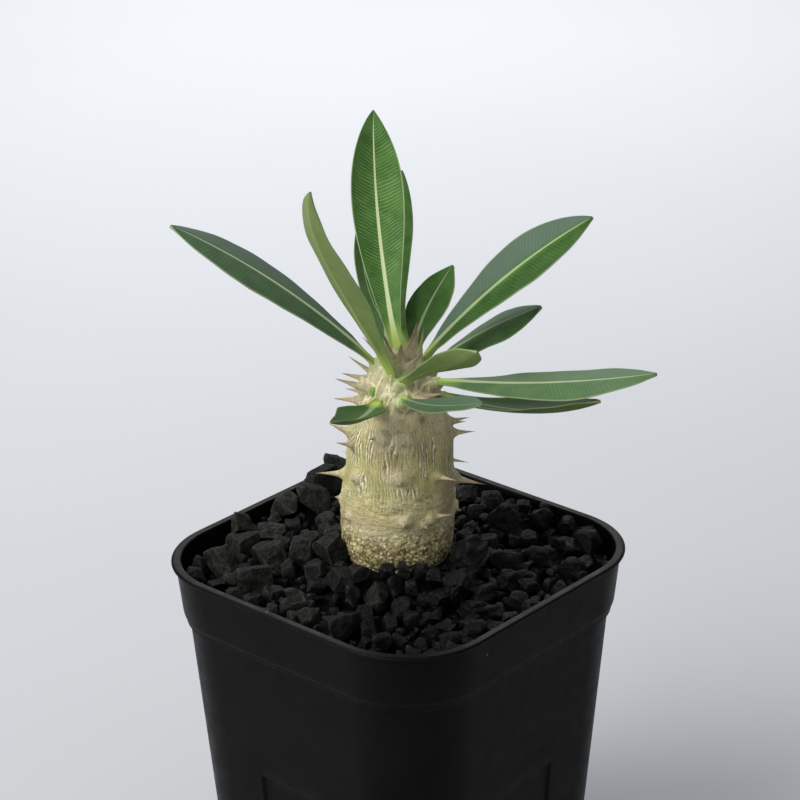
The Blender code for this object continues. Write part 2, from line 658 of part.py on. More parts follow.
def stone_list():
    """The larger stones, then smaller ones drawn into the free places between them."""
    draw = Random(5)
    listed = []
    for right, back, *sizes, turn, lift in STONES:
        length, breadth, height = (size * growth * MM for size, growth in zip(sizes, STONE_GROWTH))
        listed.append((right * MM, back * MM, length, breadth, height, turn, lift * MM))
    wanted = len(STONES) + FILL_STONES
    for _attempt in range(FILL_TRIES):
        if len(listed) == wanted:
            break
        x, y = draw.uniform(-FILL_REACH, FILL_REACH), draw.uniform(-FILL_REACH, FILL_REACH)
        length = draw.uniform(*FILL_LENGTH) * MM
        breadth = length * draw.uniform(*FILL_SLENDER)
        right, back = front_axes(x, y)
        from_stem = math.hypot(right - STEM_RIGHT, back - STEM_BACK)
        if not inside_hollow(x, y, breadth / 3) or from_stem < STEM_CLEARANCE + breadth / 3:
            continue
        if any(crowded(right, back, length, other) for other in listed):
            continue
        listed.append((right, back, length, breadth, length * draw.uniform(*FILL_FLAT),
                       draw.uniform(0, 180), draw.uniform(-FILL_LIFT, FILL_LIFT) * MM))
    return listed


def build_gravel(collection, cutters, hole):
    draw = Random(23)
    gravel = mesh_object("gravel", gravel_bed(), collection, "lava_gravel")
    stones = new_collection("loose_stones")
    for index, entry in enumerate(stone_list()):
        mesh_object(f"stone_{index}", stone(entry, draw), stones)
    apply_boolean(gravel, "UNION", group=stones, solver="MANIFOLD")
    remove_group(stones)
    heights = (MIX_TOP + GAP / 2, STEP_LOW, STEP_HIGH, POT_HEIGHT - LIP_HEIGHT, POT_HEIGHT + 0.010)
    hollow = mesh_object("hollow_cutter", loft(filling_rings(heights, GAP)), cutters)
    hollow.display_type = "WIRE"
    apply_boolean(gravel, "INTERSECT", hollow, solver="MANIFOLD")
    apply_boolean(gravel, "DIFFERENCE", hole, solver="MANIFOLD")
    keep_outer_shell(gravel)
    return gravel


def main():
    clear_scene()
    collection = new_collection(COLLECTION)
    cutters = new_collection("cutters", hidden=True)
    hole = stem_hole(cutters)
    build_pot(collection, cutters)
    build_potting_mix(collection, hole)
    build_gravel(collection, cutters, hole)
    build_stem(collection)
    for index, spec in enumerate(LEAVES):
        build_leaf(f"leaf_{index + 1:02d}", spec, collection)


main()
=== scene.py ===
"""Looks of the potted pachypodium: fine bark, spines, leaves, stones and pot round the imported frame."""
import math
from random import Random

import bmesh
import bpy
import numpy as np
from mathutils import Matrix, Vector, noise


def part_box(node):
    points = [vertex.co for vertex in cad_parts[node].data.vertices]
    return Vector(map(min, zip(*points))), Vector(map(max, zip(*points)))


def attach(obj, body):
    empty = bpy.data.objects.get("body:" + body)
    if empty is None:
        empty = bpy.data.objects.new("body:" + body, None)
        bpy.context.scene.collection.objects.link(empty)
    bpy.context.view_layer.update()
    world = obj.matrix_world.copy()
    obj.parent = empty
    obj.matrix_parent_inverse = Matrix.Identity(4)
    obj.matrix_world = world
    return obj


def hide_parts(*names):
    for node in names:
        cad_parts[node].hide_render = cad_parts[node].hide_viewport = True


MM = 0.001
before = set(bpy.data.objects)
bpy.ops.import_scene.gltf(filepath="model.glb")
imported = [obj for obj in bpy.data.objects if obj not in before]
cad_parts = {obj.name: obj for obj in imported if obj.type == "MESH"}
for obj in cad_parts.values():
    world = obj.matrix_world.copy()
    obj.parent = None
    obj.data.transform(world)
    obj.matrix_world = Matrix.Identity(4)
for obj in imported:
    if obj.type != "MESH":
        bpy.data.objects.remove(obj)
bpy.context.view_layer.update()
POT_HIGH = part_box("pot")[1]
POT_HEIGHT = POT_HIGH[2]
RIM_HALF = POT_HIGH[0]

# Camera: rise of the view in degrees, distance from the rim's centre, aim point, roll and lens
VIEW_RISE = 26.48
VIEW_DISTANCE = 0.6777
AIM_RIGHT = 0.76 * MM
AIM_HEIGHT = 0.1393
VIEW_ROLL = -0.013
VIEW_CLIP = (0.01, 30)
LENS = 126.45
SENSOR_WIDTH = 36

# Soft lights: size across, power and colour of each, and where it stands; then the sky and the floor
WINDOW = (0.9, 12.0, (1.0, 0.99, 0.97))
WINDOW_FROM = (-63, 42)
WINDOW_DISTANCE = 1.1
BACKDROP = (0.7, 5.5, (0.98, 0.99, 1.0))
BACKDROP_BEHIND = 0.85
BACKDROP_ABOVE = 0.60
SKY_COLOUR = (0.93, 0.95, 1.0, 1.0)
SKY_STRENGTH = 0.42
LIT_HEIGHT = 0.11
FLOOR_SIZE = 6.0
FLOOR_GREYS = ((0.3, (0.520, 0.530, 0.550)), (0.7, (0.545, 0.555, 0.575)))

# Pot
LIP_HEIGHT = 0.0012
LIP_ROUND = 0.00055
COLLAR_TOP_HALF = RIM_HALF - 0.0009
COLLAR_BOTTOM_HALF = RIM_HALF - 0.0018
COLLAR_BOTTOM_Z = POT_HEIGHT - 0.0133
WALL_TOP_HALF = RIM_HALF - 0.0032
WALL_TOP_Z = POT_HEIGHT - 0.0144
WALL_BASE_HALF = RIM_HALF - 0.0097
WALL_THICKNESS = 0.0013
FLOOR_THICKNESS = 0.0015
RIM_CORNER = 0.0215
WALL_CORNER = 0.0198
BASE_CORNER = 0.0165
FOOT_ROUND = 0.0009
CORNER_STEPS = 20
PANEL_TOP_Z = 0.051
PANEL_HALF_WIDTH = 0.010
PANEL_DEPTH = 0.0006
DRAIN_RADIUS = 0.0035
DRAIN_OFFSET = 0.019
DRAIN_DEPTH = 0.006
POT_SHARP = 32
PLASTIC_BLACKS = ((0.35, (0.0024, 0.0023, 0.0022)), (0.70, (0.0042, 0.0040, 0.0038)))
DUST_GREY = (0.22, 0.21, 0.19)

# Inside, the step from wall to collar lies between these two heights
STEP_LOW = WALL_TOP_Z - 0.0004
STEP_HIGH = COLLAR_BOTTOM_Z + 0.0006

# The plant faces this way on the pot; its azimuths run anticlockwise from here
PLANT_FRONT = math.radians(-48.35)
STEM_RIGHT = -0.35 * MM
STEM_BACK = 2.5 * MM
STEM_LEAN = 0.038
STEM_LEAN_FROM = 0.103

# Stem outline from the root tip up to the crown: height and radius in millimetres
STEM_OUTLINE = (
    (55, 1.5), (65, 4.0), (80, 7.5), (90, 10.2), (96, 11.6), (99.5, 12.8), (102, 13.5), (106, 13.6),
    (110, 13.5), (114, 13.5), (118, 13.1), (122, 12.7), (126, 12.5), (129.5, 12.5), (132, 11.9),
    (134.5, 10.8), (137, 10.1), (140, 9.2), (143, 7.9), (146, 6.5), (148.2, 4.8), (149.6, 2.6),
)
STEM_TOP = 150.2
STEM_LOW = 0.0925
STEM_SHOULDER = 0.148
STEM_SIDES = 96
ROOT_SIDES = 32
STEM_VOXEL = 0.000278
BUD = (-53, 142.6)

# Above the soil the stem's section swells unevenly: shares of the radius, and where that sets in
SWELL_TWICE = 0.012
SWELL_THRICE = 0.010
SWELL_FROM = 0.104
SWELL_OVER = 0.006

# Bark: colours by height over a span, tints over them, and heights where its kinds set in
BARK_SPAN = (0.098, 0.150)
BARK_BY_HEIGHT = (
    (0.00, (0.450, 0.355, 0.160)), (0.20, (0.530, 0.440, 0.205)), (0.38, (0.530, 0.475, 0.190)),
    (0.60, (0.550, 0.495, 0.215)), (0.76, (0.660, 0.580, 0.330)), (1.00, (0.800, 0.720, 0.460)),
)
BARK_TINTS = {
    # The ridge tint is partly painted highlight; the furrow tint is painted shade in the creases
    "olive": (0.215, 0.210, 0.066), "dry": (0.370, 0.260, 0.165), "ridge": (0.880, 0.810, 0.520),
    "crease_shade": (0.085, 0.068, 0.022), "gap": (0.145, 0.122, 0.036), "strand": (0.920, 0.870, 0.600),
    "level line": (0.600, 0.560, 0.340), "brown scar": (0.170, 0.125, 0.070),
    "pale scar": (0.700, 0.650, 0.450), "spine root": (0.460, 0.400, 0.250), "fresh": (0.440, 0.520, 0.220),
    "leaf foot": (0.430, 0.560, 0.130), "foot speck": (0.640, 0.560, 0.360), "pore": (0.120, 0.100, 0.046),
}
# Seed of the vector noise that bends the bark's folds, so that they are the same on every run
BARK_SEED = 8
BARK_STRANDS = 94
STRANDS_ROUND = 0.125
STRAND_WANDER = 0.78
STRANDS_SET_IN = (0.1130, 0.1180)
LEVEL_LINES_SET_IN = (0.104, 0.109)
CROWN_SETS_IN = (0.134, 0.142)
FOOT_SETS_IN = (0.113, 0.103)

# Soil and gravel
SOIL_BROWNS = ((0.3, (0.010, 0.008, 0.006)), (0.7, (0.050, 0.036, 0.025)))
# The last two stone tints are painted shade: in the hollows and low down by the bed
STONE_TINTS = {
    "coal": (0.0022, 0.0023, 0.0027), "ash": (0.0400, 0.0400, 0.0370), "dust": (0.0440, 0.0390, 0.0290),
    "grain": (0.1000, 0.0980, 0.0900), "pore": (0.0020, 0.0020, 0.0022), "edge": (0.1100, 0.1070, 0.0980),
    "hollow": (0.0025, 0.0025, 0.0027), "bed_shade": (0.0012, 0.0012, 0.0013),
}
BED_TOP = 0.0932
BED_CELLS = 120
MOUND_HEIGHT = 0.0058
MOUND_FROM = 0.013
MOUND_REACH = 0.016
MOUNDS = ((-0.020, 0.032, 0.0055, 0.026), (0.030, 0.028, 0.0034, 0.036), (0.042, 0.004, 0.0022, 0.022))
STONE_GROWTH = (1.20, 1.22, 1.28)
STONE_RISE = 0.34
STONE_TAPER = (0.55, 1.0)
STONE_UNEVEN = (0.50, 1.0)
STONE_SLOPE = 0.25
STONE_ROLL = 0.5
STONE_FACE = 0.85 * MM
STONE_CHIP = 0.42 * MM
BREAK_SHARE = 0.05
STONE_SHARP = 34
CHIP_DEPTHS = (0.08, 0.14, 0.22, 0.32, 0.42)
STEM_CLEARANCE = 0.0138
FILL_STONES = 150
GRIT_STONES = 260
GRIT_TRIES = 9000
GRIT_LENGTH = (2.2, 5.2)
GRIT_SLENDER = (0.6, 0.9)
GRIT_FLAT = (0.5, 0.8)
GRIT_LIFT = (0.0, 1.2)
GRIT_FACE = 0.8 * MM
GRIT_SPACING = 0.36
GRIT_FLAKY = 0.4
GRIT_SEED = 300
STONE_SLICES = (4, 8)
SLICE_REACH = (0.58, 0.90)
FILL_LENGTH = (4.4, 8.2)
FILL_SLENDER = (0.62, 0.95)
FILL_FLAT = (0.62, 0.85)
FILL_LIFT = 0.4
FILL_SPACING = 0.27
FILL_REACH = 0.042
FILL_TRIES = 9000

# Larger stones as seen from the plant's front, in millimetres:
# right, back, length, breadth, height, turn in degrees, lift above the bed
STONES = (
    (-12.5, -31, 10.5, 8, 6, 15, 0.5), (-43.5, 0.5, 9, 9, 7, 70, 1.0), (-34.5, -8, 8, 8, 7, 0, 0.5),
    (-30.5, 4.5, 10, 8, 7, 110, 0.6), (-22.5, 3, 9, 8, 7, 80, 0.6), (-38, 11, 8, 7, 6, 30, 1.0),
    (-19, -8, 7.5, 5.5, 5.5, 60, 0.5), (-16, -3, 10, 7, 7, 130, 1.5), (-14, -13.5, 8, 6, 5.5, 100, 0.9),
    (-9.5, -13.5, 6.5, 5, 5, 20, 1.2), (-11, -19, 7, 4.5, 5, 85, 0.3), (-5, -19.5, 9, 5, 5, 95, 0.3),
    (-25.5, -20, 8, 4.5, 4.5, 10, 0.2), (-21.5, -26, 7, 5.5, 4.5, 5, 0.2), (-39, 19, 7, 6, 6, 40, 1.6),
    (-28, 28, 8, 8, 6, 0, 0.4), (-21, 27, 10, 7, 6, 10, 0.6), (-19, 36, 10, 7.5, 7, 20, 0.6),
    (-15.5, 42, 7, 5, 6, 160, 2.8), (-18, 15.5, 6.5, 4.5, 5, 60, 0.3), (-31, 17, 9, 6, 5, 0, 0.5),
    (-48, 2, 6.5, 4.5, 5, 90, 0.0), (16.5, -6, 9.5, 7.5, 8, 70, 1.2), (14, -17, 9, 5.5, 6, 80, 0.5),
    (25.5, -0.5, 8.5, 5.5, 5, 0, 0.3), (34.5, 0, 9.5, 6, 5.5, 155, 0.5), (27, -10, 10.5, 6, 6, 20, 0.5),
    (31, -12.5, 7, 4.5, 5, 25, 0.3), (41.5, -4.5, 6, 5, 5, 140, 0.3), (46, 6.5, 8.5, 7, 6.5, 150, 1.2),
    (42, 15, 5, 5, 5, 0, 0.8), (35, 18, 8, 6, 6, 140, 1.0), (26.5, 18.5, 8.5, 7.5, 7, 30, 1.2),
    (31.5, 26, 4.5, 4, 4, 0, 0.5), (24, 30, 7, 5, 4.5, 10, 0.5), (17.5, 34, 6.5, 5, 4.5, 5, 0.5),
    (37, 24, 5, 4, 4, 0, 0.5), (45.5, 13, 6, 4, 4, 160, 0.8), (32, 9.5, 6, 5, 5, 0, 0.5),
    (19.5, -16.5, 6, 6, 5, 30, 0.2), (20, -25.5, 13, 5, 5, 15, 0.0), (17, -33.5, 7.5, 4.5, 4.5, 15, 0.0),
    (11, -37, 5, 4.5, 4, 20, 0.0), (6.5, -34, 7, 5, 4.5, 80, 0.0), (2.5, -27.5, 6, 4.5, 4.5, 90, 0.0),
    (-2.5, -29.5, 6, 3.5, 4, 95, 0.0), (3, -17, 4, 3.5, 4, 90, 0.6), (9, -20, 6, 5, 4.5, 40, 0.2),
    (9, -14.5, 4.5, 4, 4, 150, 1.4), (5.5, -13.5, 5, 3.5, 4, 170, 1.5), (1, -13.5, 3.5, 3.5, 4, 0, 1.8),
    (-3, -13.5, 4, 3.5, 4, 0, 1.6), (-1.5, -17, 6, 4.5, 4.5, 60, 0.5),
)

# Spines: azimuth from the front, height, length, rise and turn in degrees, root radius, flatness;
# lengths in millimetres, flatness 0 for a round spine and 1 for a broad scale of the crown
SPINES = (
    (-100, 144.7, 7.0, 35, 0, 1.5, 0.5), (-85, 143.6, 7.0, 20, 0, 2.3, 0.8),
    (-78, 142.2, 8.2, 20, 0, 2.4, 0.8), (-95, 140.7, 5.4, 20, 0, 1.6, 0.4),
    (-104, 139.6, 4.4, 4, 0, 1.5, 0.3), (-88, 138.4, 6.4, 8, 0, 2.1, 0.5),
    (-118, 147.4, 7.0, 62, 0, 1.4, 0.6), (-72, 148.7, 8.5, 50, -10, 1.9, 0.8),
    (-41, 149.3, 9.4, 66, 0, 1.7, 0.8), (35, 149.2, 9.4, 80, 60, 2.4, 1.0),
    (75, 148.6, 9.4, 82, 20, 1.5, 0.8), (-5, 149.0, 5.6, 80, 0, 1.8, 0.8),
    (12, 149.4, 7.4, 74, 62, 1.9, 0.9), (24, 149.0, 8.4, 76, 74, 1.7, 0.9),
    (16, 148.2, 6.0, 50, 44, 1.8, 0.8), (31, 142.0, 7.0, 13, 46, 2.2, 0.6),
    (18, 142.6, 5.6, 0, 38, 2.0, 0.8), (50, 140.2, 3.8, 8, 40, 1.6, 0.6),
    (-92, 130.1, 5.2, 23, 0, 1.5, 0.2), (-72, 130.9, 5.0, 32, 0, 1.4, 0.2),
    (-62, 129.3, 5.0, 17, 0, 1.7, 0.1), (-90, 119.2, 7.2, 4, 0, 2.0, 0.0),
    (-88, 113.0, 1.9, 12, 0, 1.7, 0.0), (95, 132.2, 5.0, 8, 0, 1.5, 0.2),
    (102, 131.2, 4.2, -4, 0, 1.4, 0.1), (86, 130.0, 5.6, 5, 0, 1.9, 0.1),
    (112, 120.6, 6.0, -20, 0, 1.2, 0.0), (84, 118.4, 8.0, -12, 0, 2.3, 0.0),
    (86, 110.5, 2.2, -30, 0, 1.6, 0.0), (45, 122.4, 6.4, 5, 4, 1.7, 0.0),
    (-25, 133.0, 3.0, 5, -39, 1.8, 0.1), (2, 132.4, 1.7, -5, 0, 2.1, 0.0),
    (1, 122.9, 2.1, -8, 0, 1.9, 0.0), (39, 112.6, 4.6, 8, 38, 1.8, 0.0),
    (6, 112.4, 2.2, -8, -10, 1.7, 0.0), (27, 111.1, 1.7, -10, 0, 1.6, 0.0),
    (-52, 121.4, 1.8, 0, 0, 1.6, 0.0), (-60, 111.0, 1.6, 0, 0, 1.5, 0.0),
)
BACK_SPINE_ROWS = (112.5, 119.0, 125.0, 131.5, 137.5, 142.5)
BACK_SPINE_PAIR = 14
BACK_SPINE_FROM = 135
BACK_SPINE_STEP = 60
BACK_SPINE_SHIFT = 25
SPINE_SIDES = 16
SPINE_STEPS = 14
SPINE_SEAT = 0.985
SPINE_FLARE = 0.85 * MM
SPINE_MOUND = 2.6 * MM
SPINE_SHARP = 50
SHORT_SPINE = 3.2
SPINE_BY_LENGTH = (
    (0.00, (0.480, 0.430, 0.240)), (0.30, (0.640, 0.550, 0.330)),
    (0.66, (0.560, 0.440, 0.260)), (1.00, (0.230, 0.150, 0.100)),
)
DULL_SPINE_BY_LENGTH = (
    (0.00, (0.520, 0.460, 0.270)), (0.45, (0.460, 0.370, 0.230)), (1.00, (0.340, 0.240, 0.160)),
)
STREAK_BROWN = (0.170, 0.130, 0.080)

# Leaf scars and folds of the crown: azimuth, height, half width, half height, swell, tint
# (0 brown, 0.5 as the bark, 1 pale); lengths in millimetres
SCARS = (
    (13, 136.2, 3.2, 2.8, 0.55, 0.35), (-19, 138.4, 2.0, 1.7, 0.50, 0.25), (28, 137.0, 1.1, 1.0, 0.20, 0.0),
    (-5, 141.4, 1.6, 1.5, 0.60, 0.85), (-4, 141.0, 0.5, 0.6, 0.0, 0.0), (-13, 145.2, 1.3, 3.6, 0.70, 0.95),
    (-38, 142.6, 3.0, 2.2, 0.55, 0.60), (-72, 144.6, 1.3, 2.6, 0.50, 0.9), (4, 132.6, 2.2, 1.7, 0.30, 0.9),
    (14, 132.2, 1.3, 1.4, 0.10, 0.1), (-33, 133.4, 1.4, 1.2, 0.15, 0.1), (12, 122.8, 1.3, 1.5, 0.10, 0.1),
    (-8, 123.2, 2.0, 1.6, 0.25, 0.95), (-10, 137.6, 1.0, 3.6, 0.25, 0.9), (46, 138.0, 2.0, 2.0, 0.30, 0.5),
    (30, 146.4, 2.0, 1.6, 0.40, 0.8), (-60, 137.0, 1.6, 2.4, 0.30, 0.8), (60, 135.0, 1.2, 2.0, 0.20, 0.7),
    (64, 116.5, 4.6, 6.0, 0.15, 0.12), (74, 126.0, 3.2, 5.5, 0.10, 0.20), (70, 106.5, 4.0, 3.0, 0.10, 0.1),
    (-74, 109.0, 2.4, 4.0, 0.10, 0.2), (24, 131.0, 2.2, 2.6, 0.05, 0.2), (-30, 108.5, 4.0, 1.4, 0.30, 0.75),
)

# Places where pale upright lines crowd together: azimuth, height, half width, half height in millimetres
LINE_BUNDLES = (
    (-36, 130.5, 1.4, 5.0), (27, 127.5, 1.6, 5.5), (-58, 129.5, 2.6, 5.0), (-6, 131.0, 1.6, 2.5),
    (-44, 121.0, 2.6, 2.6), (40, 129.0, 0.8, 4.5), (8, 119.6, 3.2, 1.8), (-14, 126.5, 0.8, 3.0),
    (64, 124.0, 1.2, 4.0), (120, 126.0, 2.6, 5.0), (165, 122.0, 2.2, 4.0), (205, 128.0, 2.4, 5.0),
    (250, 123.0, 2.6, 4.0),
)

# Leaves, seen from the plant's front. Base: azimuth, distance from the stem's axis and height.
# Run: heading, turn along the leaf, rise at base and at tip.
# Blade: length, width, roll at base and at tip, trough depth.
LEAVES = (
    ((201, 3.8, 150.4), (193.5, -14.5, 45, 42), (63.5, 13, -19, 21, 0.35)),
    ((-23.5, 6.7, 148.0), (-66, 74, 63.5, 45), (69.5, 17, 17, -69, 0.14)),
    ((-92, 6.7, 148.1), (-85, 8, 47.5, 30), (59.5, 14, -18, -18, -0.1)),
    ((170, 5.5, 149.0), (198, -37, 15, 40), (59, 12.2, -20, 10, 0.3)),
    ((220, 6.0, 148.4), (178, 18, 1, 33), (54.9, 11.3, -2, 20, 0.2)),
    ((156.5, 7.3, 147.7), (175, -40, 19, 39), (28, 11.8, -7, -11, 0.1)),
    ((94.5, 5.3, 148.7), (94, -2, 51, 30.5), (52, 15.2, 12, 29, 0.1)),
    ((127.5, 9.5, 144.7), (100.5, -29.5, 36, 25), (30, 12.7, 4, 17, -0.2)),
    ((0.5, 7.2, 146.5), (29.5, -11.5, 26, 31), (46, 9.2, -5, -36, 0.2)),
    ((61, 10.2, 145.1), (63.5, 12, 5.5, 13.5), (53, 13.4, 11, 8, -0.1)),
    ((71.5, 10.6, 140.4), (72, -27, -11, 31.5), (43, 12.6, 0, -10, 0.3)),
    ((4, 10.5, 142.7), (16, 32.5, 14.5, 22), (34.5, 8.8, 5, 15, 0.1)),
    ((-34.5, 10.5, 140.6), (-18.5, -22, -5, 27), (21.7, 12.4, 3, 11, 0.35)),
)
# Looks of each leaf: clearness of its side veins and of its midrib, painted grey sheen of its two halves
# (below 0 painted shade, a deeper green), share of its length where it is widest and how fully it rounds to
# the tip
LEAF_LOOKS = (
    (1.00, 1.00, 0.00, 0.00, 0.62, 2.0), (0.10, 0.45, 0.30, 0.10, 0.55, 1.15),
    (0.30, 0.85, 0.95, 0.55, 0.62, 2.0), (0.15, 0.40, -0.30, -0.30, 0.62, 2.0),
    (0.10, 0.50, -0.35, -0.35, 0.62, 2.0), (0.15, 0.50, -0.35, -0.25, 0.62, 2.0),
    (0.25, 0.55, -0.55, 0.95, 0.62, 2.0), (0.20, 0.40, 0.20, 0.70, 0.62, 2.0),
    (0.15, 0.30, 0.15, 0.25, 0.62, 2.0), (0.25, 0.55, 0.35, 0.50, 0.62, 2.0),
    (0.15, 0.35, -0.50, -0.50, 0.62, 2.0), (0.10, 0.30, 0.60, 0.80, 0.62, 2.0),
    (0.10, 0.30, -0.60, -0.50, 0.40, 1.1),
)
ROLL_SETS_IN = 8
LEAF_STEPS = 240
LEAF_ROWS = 72
LEAF_COLUMNS = 24
VEIN_SPACING = 0.95
VEIN_SWEEP = 2.8
VEIN_WANDER = 0.3
# In each set of leaf tints the grey one is painted sheen, reflected light painted into the colour
UPPER_TINTS = {
    "dark": (0.036, 0.110, 0.014), "light": (0.088, 0.200, 0.040), "painted_light": (0.098, 0.148, 0.108),
    "vein": (0.340, 0.480, 0.250), "rib": (0.600, 0.670, 0.380),
}
UNDER_TINTS = {
    "dark": (0.150, 0.220, 0.055), "light": (0.205, 0.290, 0.085), "painted_light": (0.240, 0.320, 0.120),
    "vein": (0.260, 0.350, 0.120), "rib": (0.380, 0.470, 0.200),
}
UPPER_GLOSS = 0.48
UNDER_GLOSS = 0.52
# Deeper green for painted shade on leaf halves
PAINTED_SHADE_GREEN = (0.016, 0.050, 0.007)
FOOT_GREEN = (0.420, 0.560, 0.110)
# Pale green for a painted highlight along the leaf's margin
MARGIN_HIGHLIGHT_GREEN = (0.420, 0.500, 0.300)
BUD_GREENS = ((0.3, (0.120, 0.230, 0.030)), (0.7, (0.230, 0.360, 0.070)))
PETIOLE_SHARE = 0.24
# Half width of the pale midrib as a share of the blade's, along the leaf
RIB_WIDTHS = ((0.0, 0.55), (0.1, 0.26), (0.22, 0.125), (0.4, 0.070), (0.7, 0.036), (1.0, 0.040))
EDGE_THICKNESS = 0.0006
KEEL_WIDTH = 1.1 * MM
GROOVE_DEPTH = 0.10 * MM
WAVE_HEIGHT = 0.35 * MM
RIPPLE_HEIGHT = 0.30 * MM
LEAF_SEED = 7.3
# Cushion under each leaf: half width in millimetres at each share of its length
CUSHION = ((0.0, 2.9), (0.3, 2.7), (0.55, 2.4), (0.75, 2.1), (0.9, 1.7), (1.0, 1.2))
CUSHION_SIDES = 20
CUSHION_FLATNESS = 0.80
CUSHION_SINK = 3.2 * MM
CUSHION_ROOT_DEPTH = 2.5 * MM
CUSHION_LIP = 0.3 * MM
CUSHION_REACH = 4.2 * MM
# The foot of each blade reaches this far into its cushion and narrows to this share there
FOOT_SINK = 2.0 * MM
FOOT_SHARE = 0.62


# Frames of the pot and of the plant

def seen_from_front(right, back, height):
    """Point given by its distance right of and behind the pot's centre, as seen from the front."""
    across = PLANT_FRONT + math.pi / 2
    return Vector((
        right * math.cos(across) - back * math.cos(PLANT_FRONT),
        right * math.sin(across) - back * math.sin(PLANT_FRONT),
        height,
    ))


def direction(azimuth, rise):
    turned = PLANT_FRONT + math.radians(azimuth)
    lift = math.radians(rise)
    return Vector((math.cos(turned) * math.cos(lift), math.sin(turned) * math.cos(lift), math.sin(lift)))


def stem_centre(height):
    lean = max(0.0, height - STEM_LEAN_FROM) * STEM_LEAN
    return seen_from_front(STEM_RIGHT + lean, STEM_BACK, height)


def stem_radius(height):
    heights = [entry[0] * MM for entry in STEM_OUTLINE] + [STEM_TOP * MM]
    radii = [entry[1] * MM for entry in STEM_OUTLINE] + [0.0]
    return float(np.interp(height, heights, radii))


# Node materials

class Shader:
    """Small builder for a node material around one Principled shader."""

    def __init__(self, name):
        self.material = bpy.data.materials.new(name)
        self.material.use_nodes = True
        self.tree = self.material.node_tree
        self.principled = self.tree.nodes["Principled BSDF"]

    def feed(self, socket, value):
        """Link an output to a socket, or set the socket to a number, vector or colour."""
        if isinstance(value, bpy.types.NodeSocket):
            self.tree.links.new(value, socket)
        elif socket.type == "RGBA":
            socket.default_value = (*value, 1.0)
        else:
            socket.default_value = value

    def node(self, kind, inputs=None, **settings):
        made = self.tree.nodes.new(kind)
        for name, value in settings.items():
            setattr(made, name, value)
        for name, value in (inputs or {}).items():
            self.feed(made.inputs[name], value)
        return made

    def place(self):
        return self.node("ShaderNodeTexCoord").outputs["Object"]

    def attribute(self, name):
        return self.node("ShaderNodeAttribute", attribute_name=name).outputs["Fac"]

    def split(self, vector):
        return self.node("ShaderNodeSeparateXYZ", {"Vector": vector}).outputs

    def stretched(self, vector, scale):
        return self.node("ShaderNodeMapping", {"Vector": vector, "Scale": scale}).outputs["Vector"]

    def noise(self, vector, scale, detail, roughness=0.55):
        inputs = {"Vector": vector, "Scale": scale, "Detail": detail, "Roughness": roughness}
        return self.node("ShaderNodeTexNoise", inputs).outputs["Fac"]

    def voronoi(self, vector, scale, feature="F1"):
        made = self.node("ShaderNodeTexVoronoi", {"Vector": vector, "Scale": scale}, feature=feature)
        return made.outputs["Distance"]

    def vectors(self, operation, first, second):
        made = self.node("ShaderNodeVectorMath", operation=operation)
        for socket, value in zip(made.inputs, (first, second)):
            self.feed(socket, value)
        return made.outputs["Vector"]

    def cracks(self, vector, scale, stretch, bend, bend_scale):
        """Distance to the edges of stretched, bent cells."""
        field = self.node("ShaderNodeTexNoise", {"Vector": vector, "Scale": bend_scale})
        centred = self.vectors("SUBTRACT", field.outputs["Color"], (0.5, 0.5, 0.5))
        moved = self.vectors("ADD", vector, self.vectors("MULTIPLY", centred, (bend, bend, bend)))
        return self.voronoi(self.stretched(moved, stretch), scale, "DISTANCE_TO_EDGE")

    def ramp(self, value, stops):
        made = self.node("ShaderNodeValToRGB", {"Fac": value})
        elements = made.color_ramp.elements
        while len(elements) < len(stops):
            elements.new(0.5)
        for element, (position, colour) in zip(elements, stops):
            element.position = position
            element.color = (*colour, 1.0)
        return made.outputs["Color"]

    def range(self, value, low, high, to_low=0.0, to_high=1.0):
        inputs = {"Value": value, "From Min": low, "From Max": high, "To Min": to_low, "To Max": to_high}
        return self.node("ShaderNodeMapRange", inputs).outputs["Result"]

    def maths(self, operation, *values):
        made = self.node("ShaderNodeMath", operation=operation)
        for socket, value in zip(made.inputs, values):
            self.feed(socket, value)
        return made.outputs["Value"]

    def times(self, first, second):
        return self.maths("MULTIPLY", first, second)

    def mix(self, amount, first, second):
        made = self.node("ShaderNodeMix", data_type="RGBA")
        for name, kind, value in (("Factor", "VALUE", amount), ("A", "RGBA", first), ("B", "RGBA", second)):
            socket = next(item for item in made.inputs if (item.name, item.type) == (name, kind))
            self.feed(socket, value)
        return next(item for item in made.outputs if item.type == "RGBA")

    def tinted(self, colour, tint, value, low, high, most=1.0):
        """Colour with a tint over it where a value passes from low to high, up to the greatest share."""
        return self.mix(self.range(value, low, high, 0.0, most), colour, tint)

    def bump(self, height, strength, distance, below=None):
        inputs = {"Height": height, "Strength": strength, "Distance": distance}
        if below:
            inputs["Normal"] = below
        return self.node("ShaderNodeBump", inputs).outputs["Normal"]

    def finish(self, colour, roughness, normal, specular):
        inputs = {"Base Color": colour, "Roughness": roughness, "Specular IOR Level": specular}
        if normal:
            inputs["Normal"] = normal
        for name, value in inputs.items():
            self.feed(self.principled.inputs[name], value)
        return self.material


def plastic_material():
    """Satin black plastic with faint flow marks, dust and a few pale specks."""
    shader = Shader("black_plastic_finish")
    place = shader.place()
    colour = shader.ramp(shader.noise(place, 60, 5), PLASTIC_BLACKS)
    specks = shader.range(shader.voronoi(place, 150), 0.030, 0.055, 1.0, 0.0)
    dust = shader.times(specks, shader.range(shader.noise(place, 45, 2), 0.56, 0.62))
    colour = shader.mix(dust, colour, DUST_GREY)
    roughness = shader.range(shader.noise(place, 220, 6), 0.3, 0.7, 0.36, 0.50)
    normal = shader.bump(shader.noise(place, 1400, 3), 0.10, 0.0002)
    return shader.finish(colour, roughness, shader.bump(dust, 0.4, 0.0003, normal), 0.065)


def soil_material():
    shader = Shader("potting_soil_finish")
    crumbs = shader.noise(shader.place(), 420, 8, 0.7)
    return shader.finish(shader.ramp(crumbs, SOIL_BROWNS), 0.95, shader.bump(crumbs, 0.9, 0.001), 0.2)


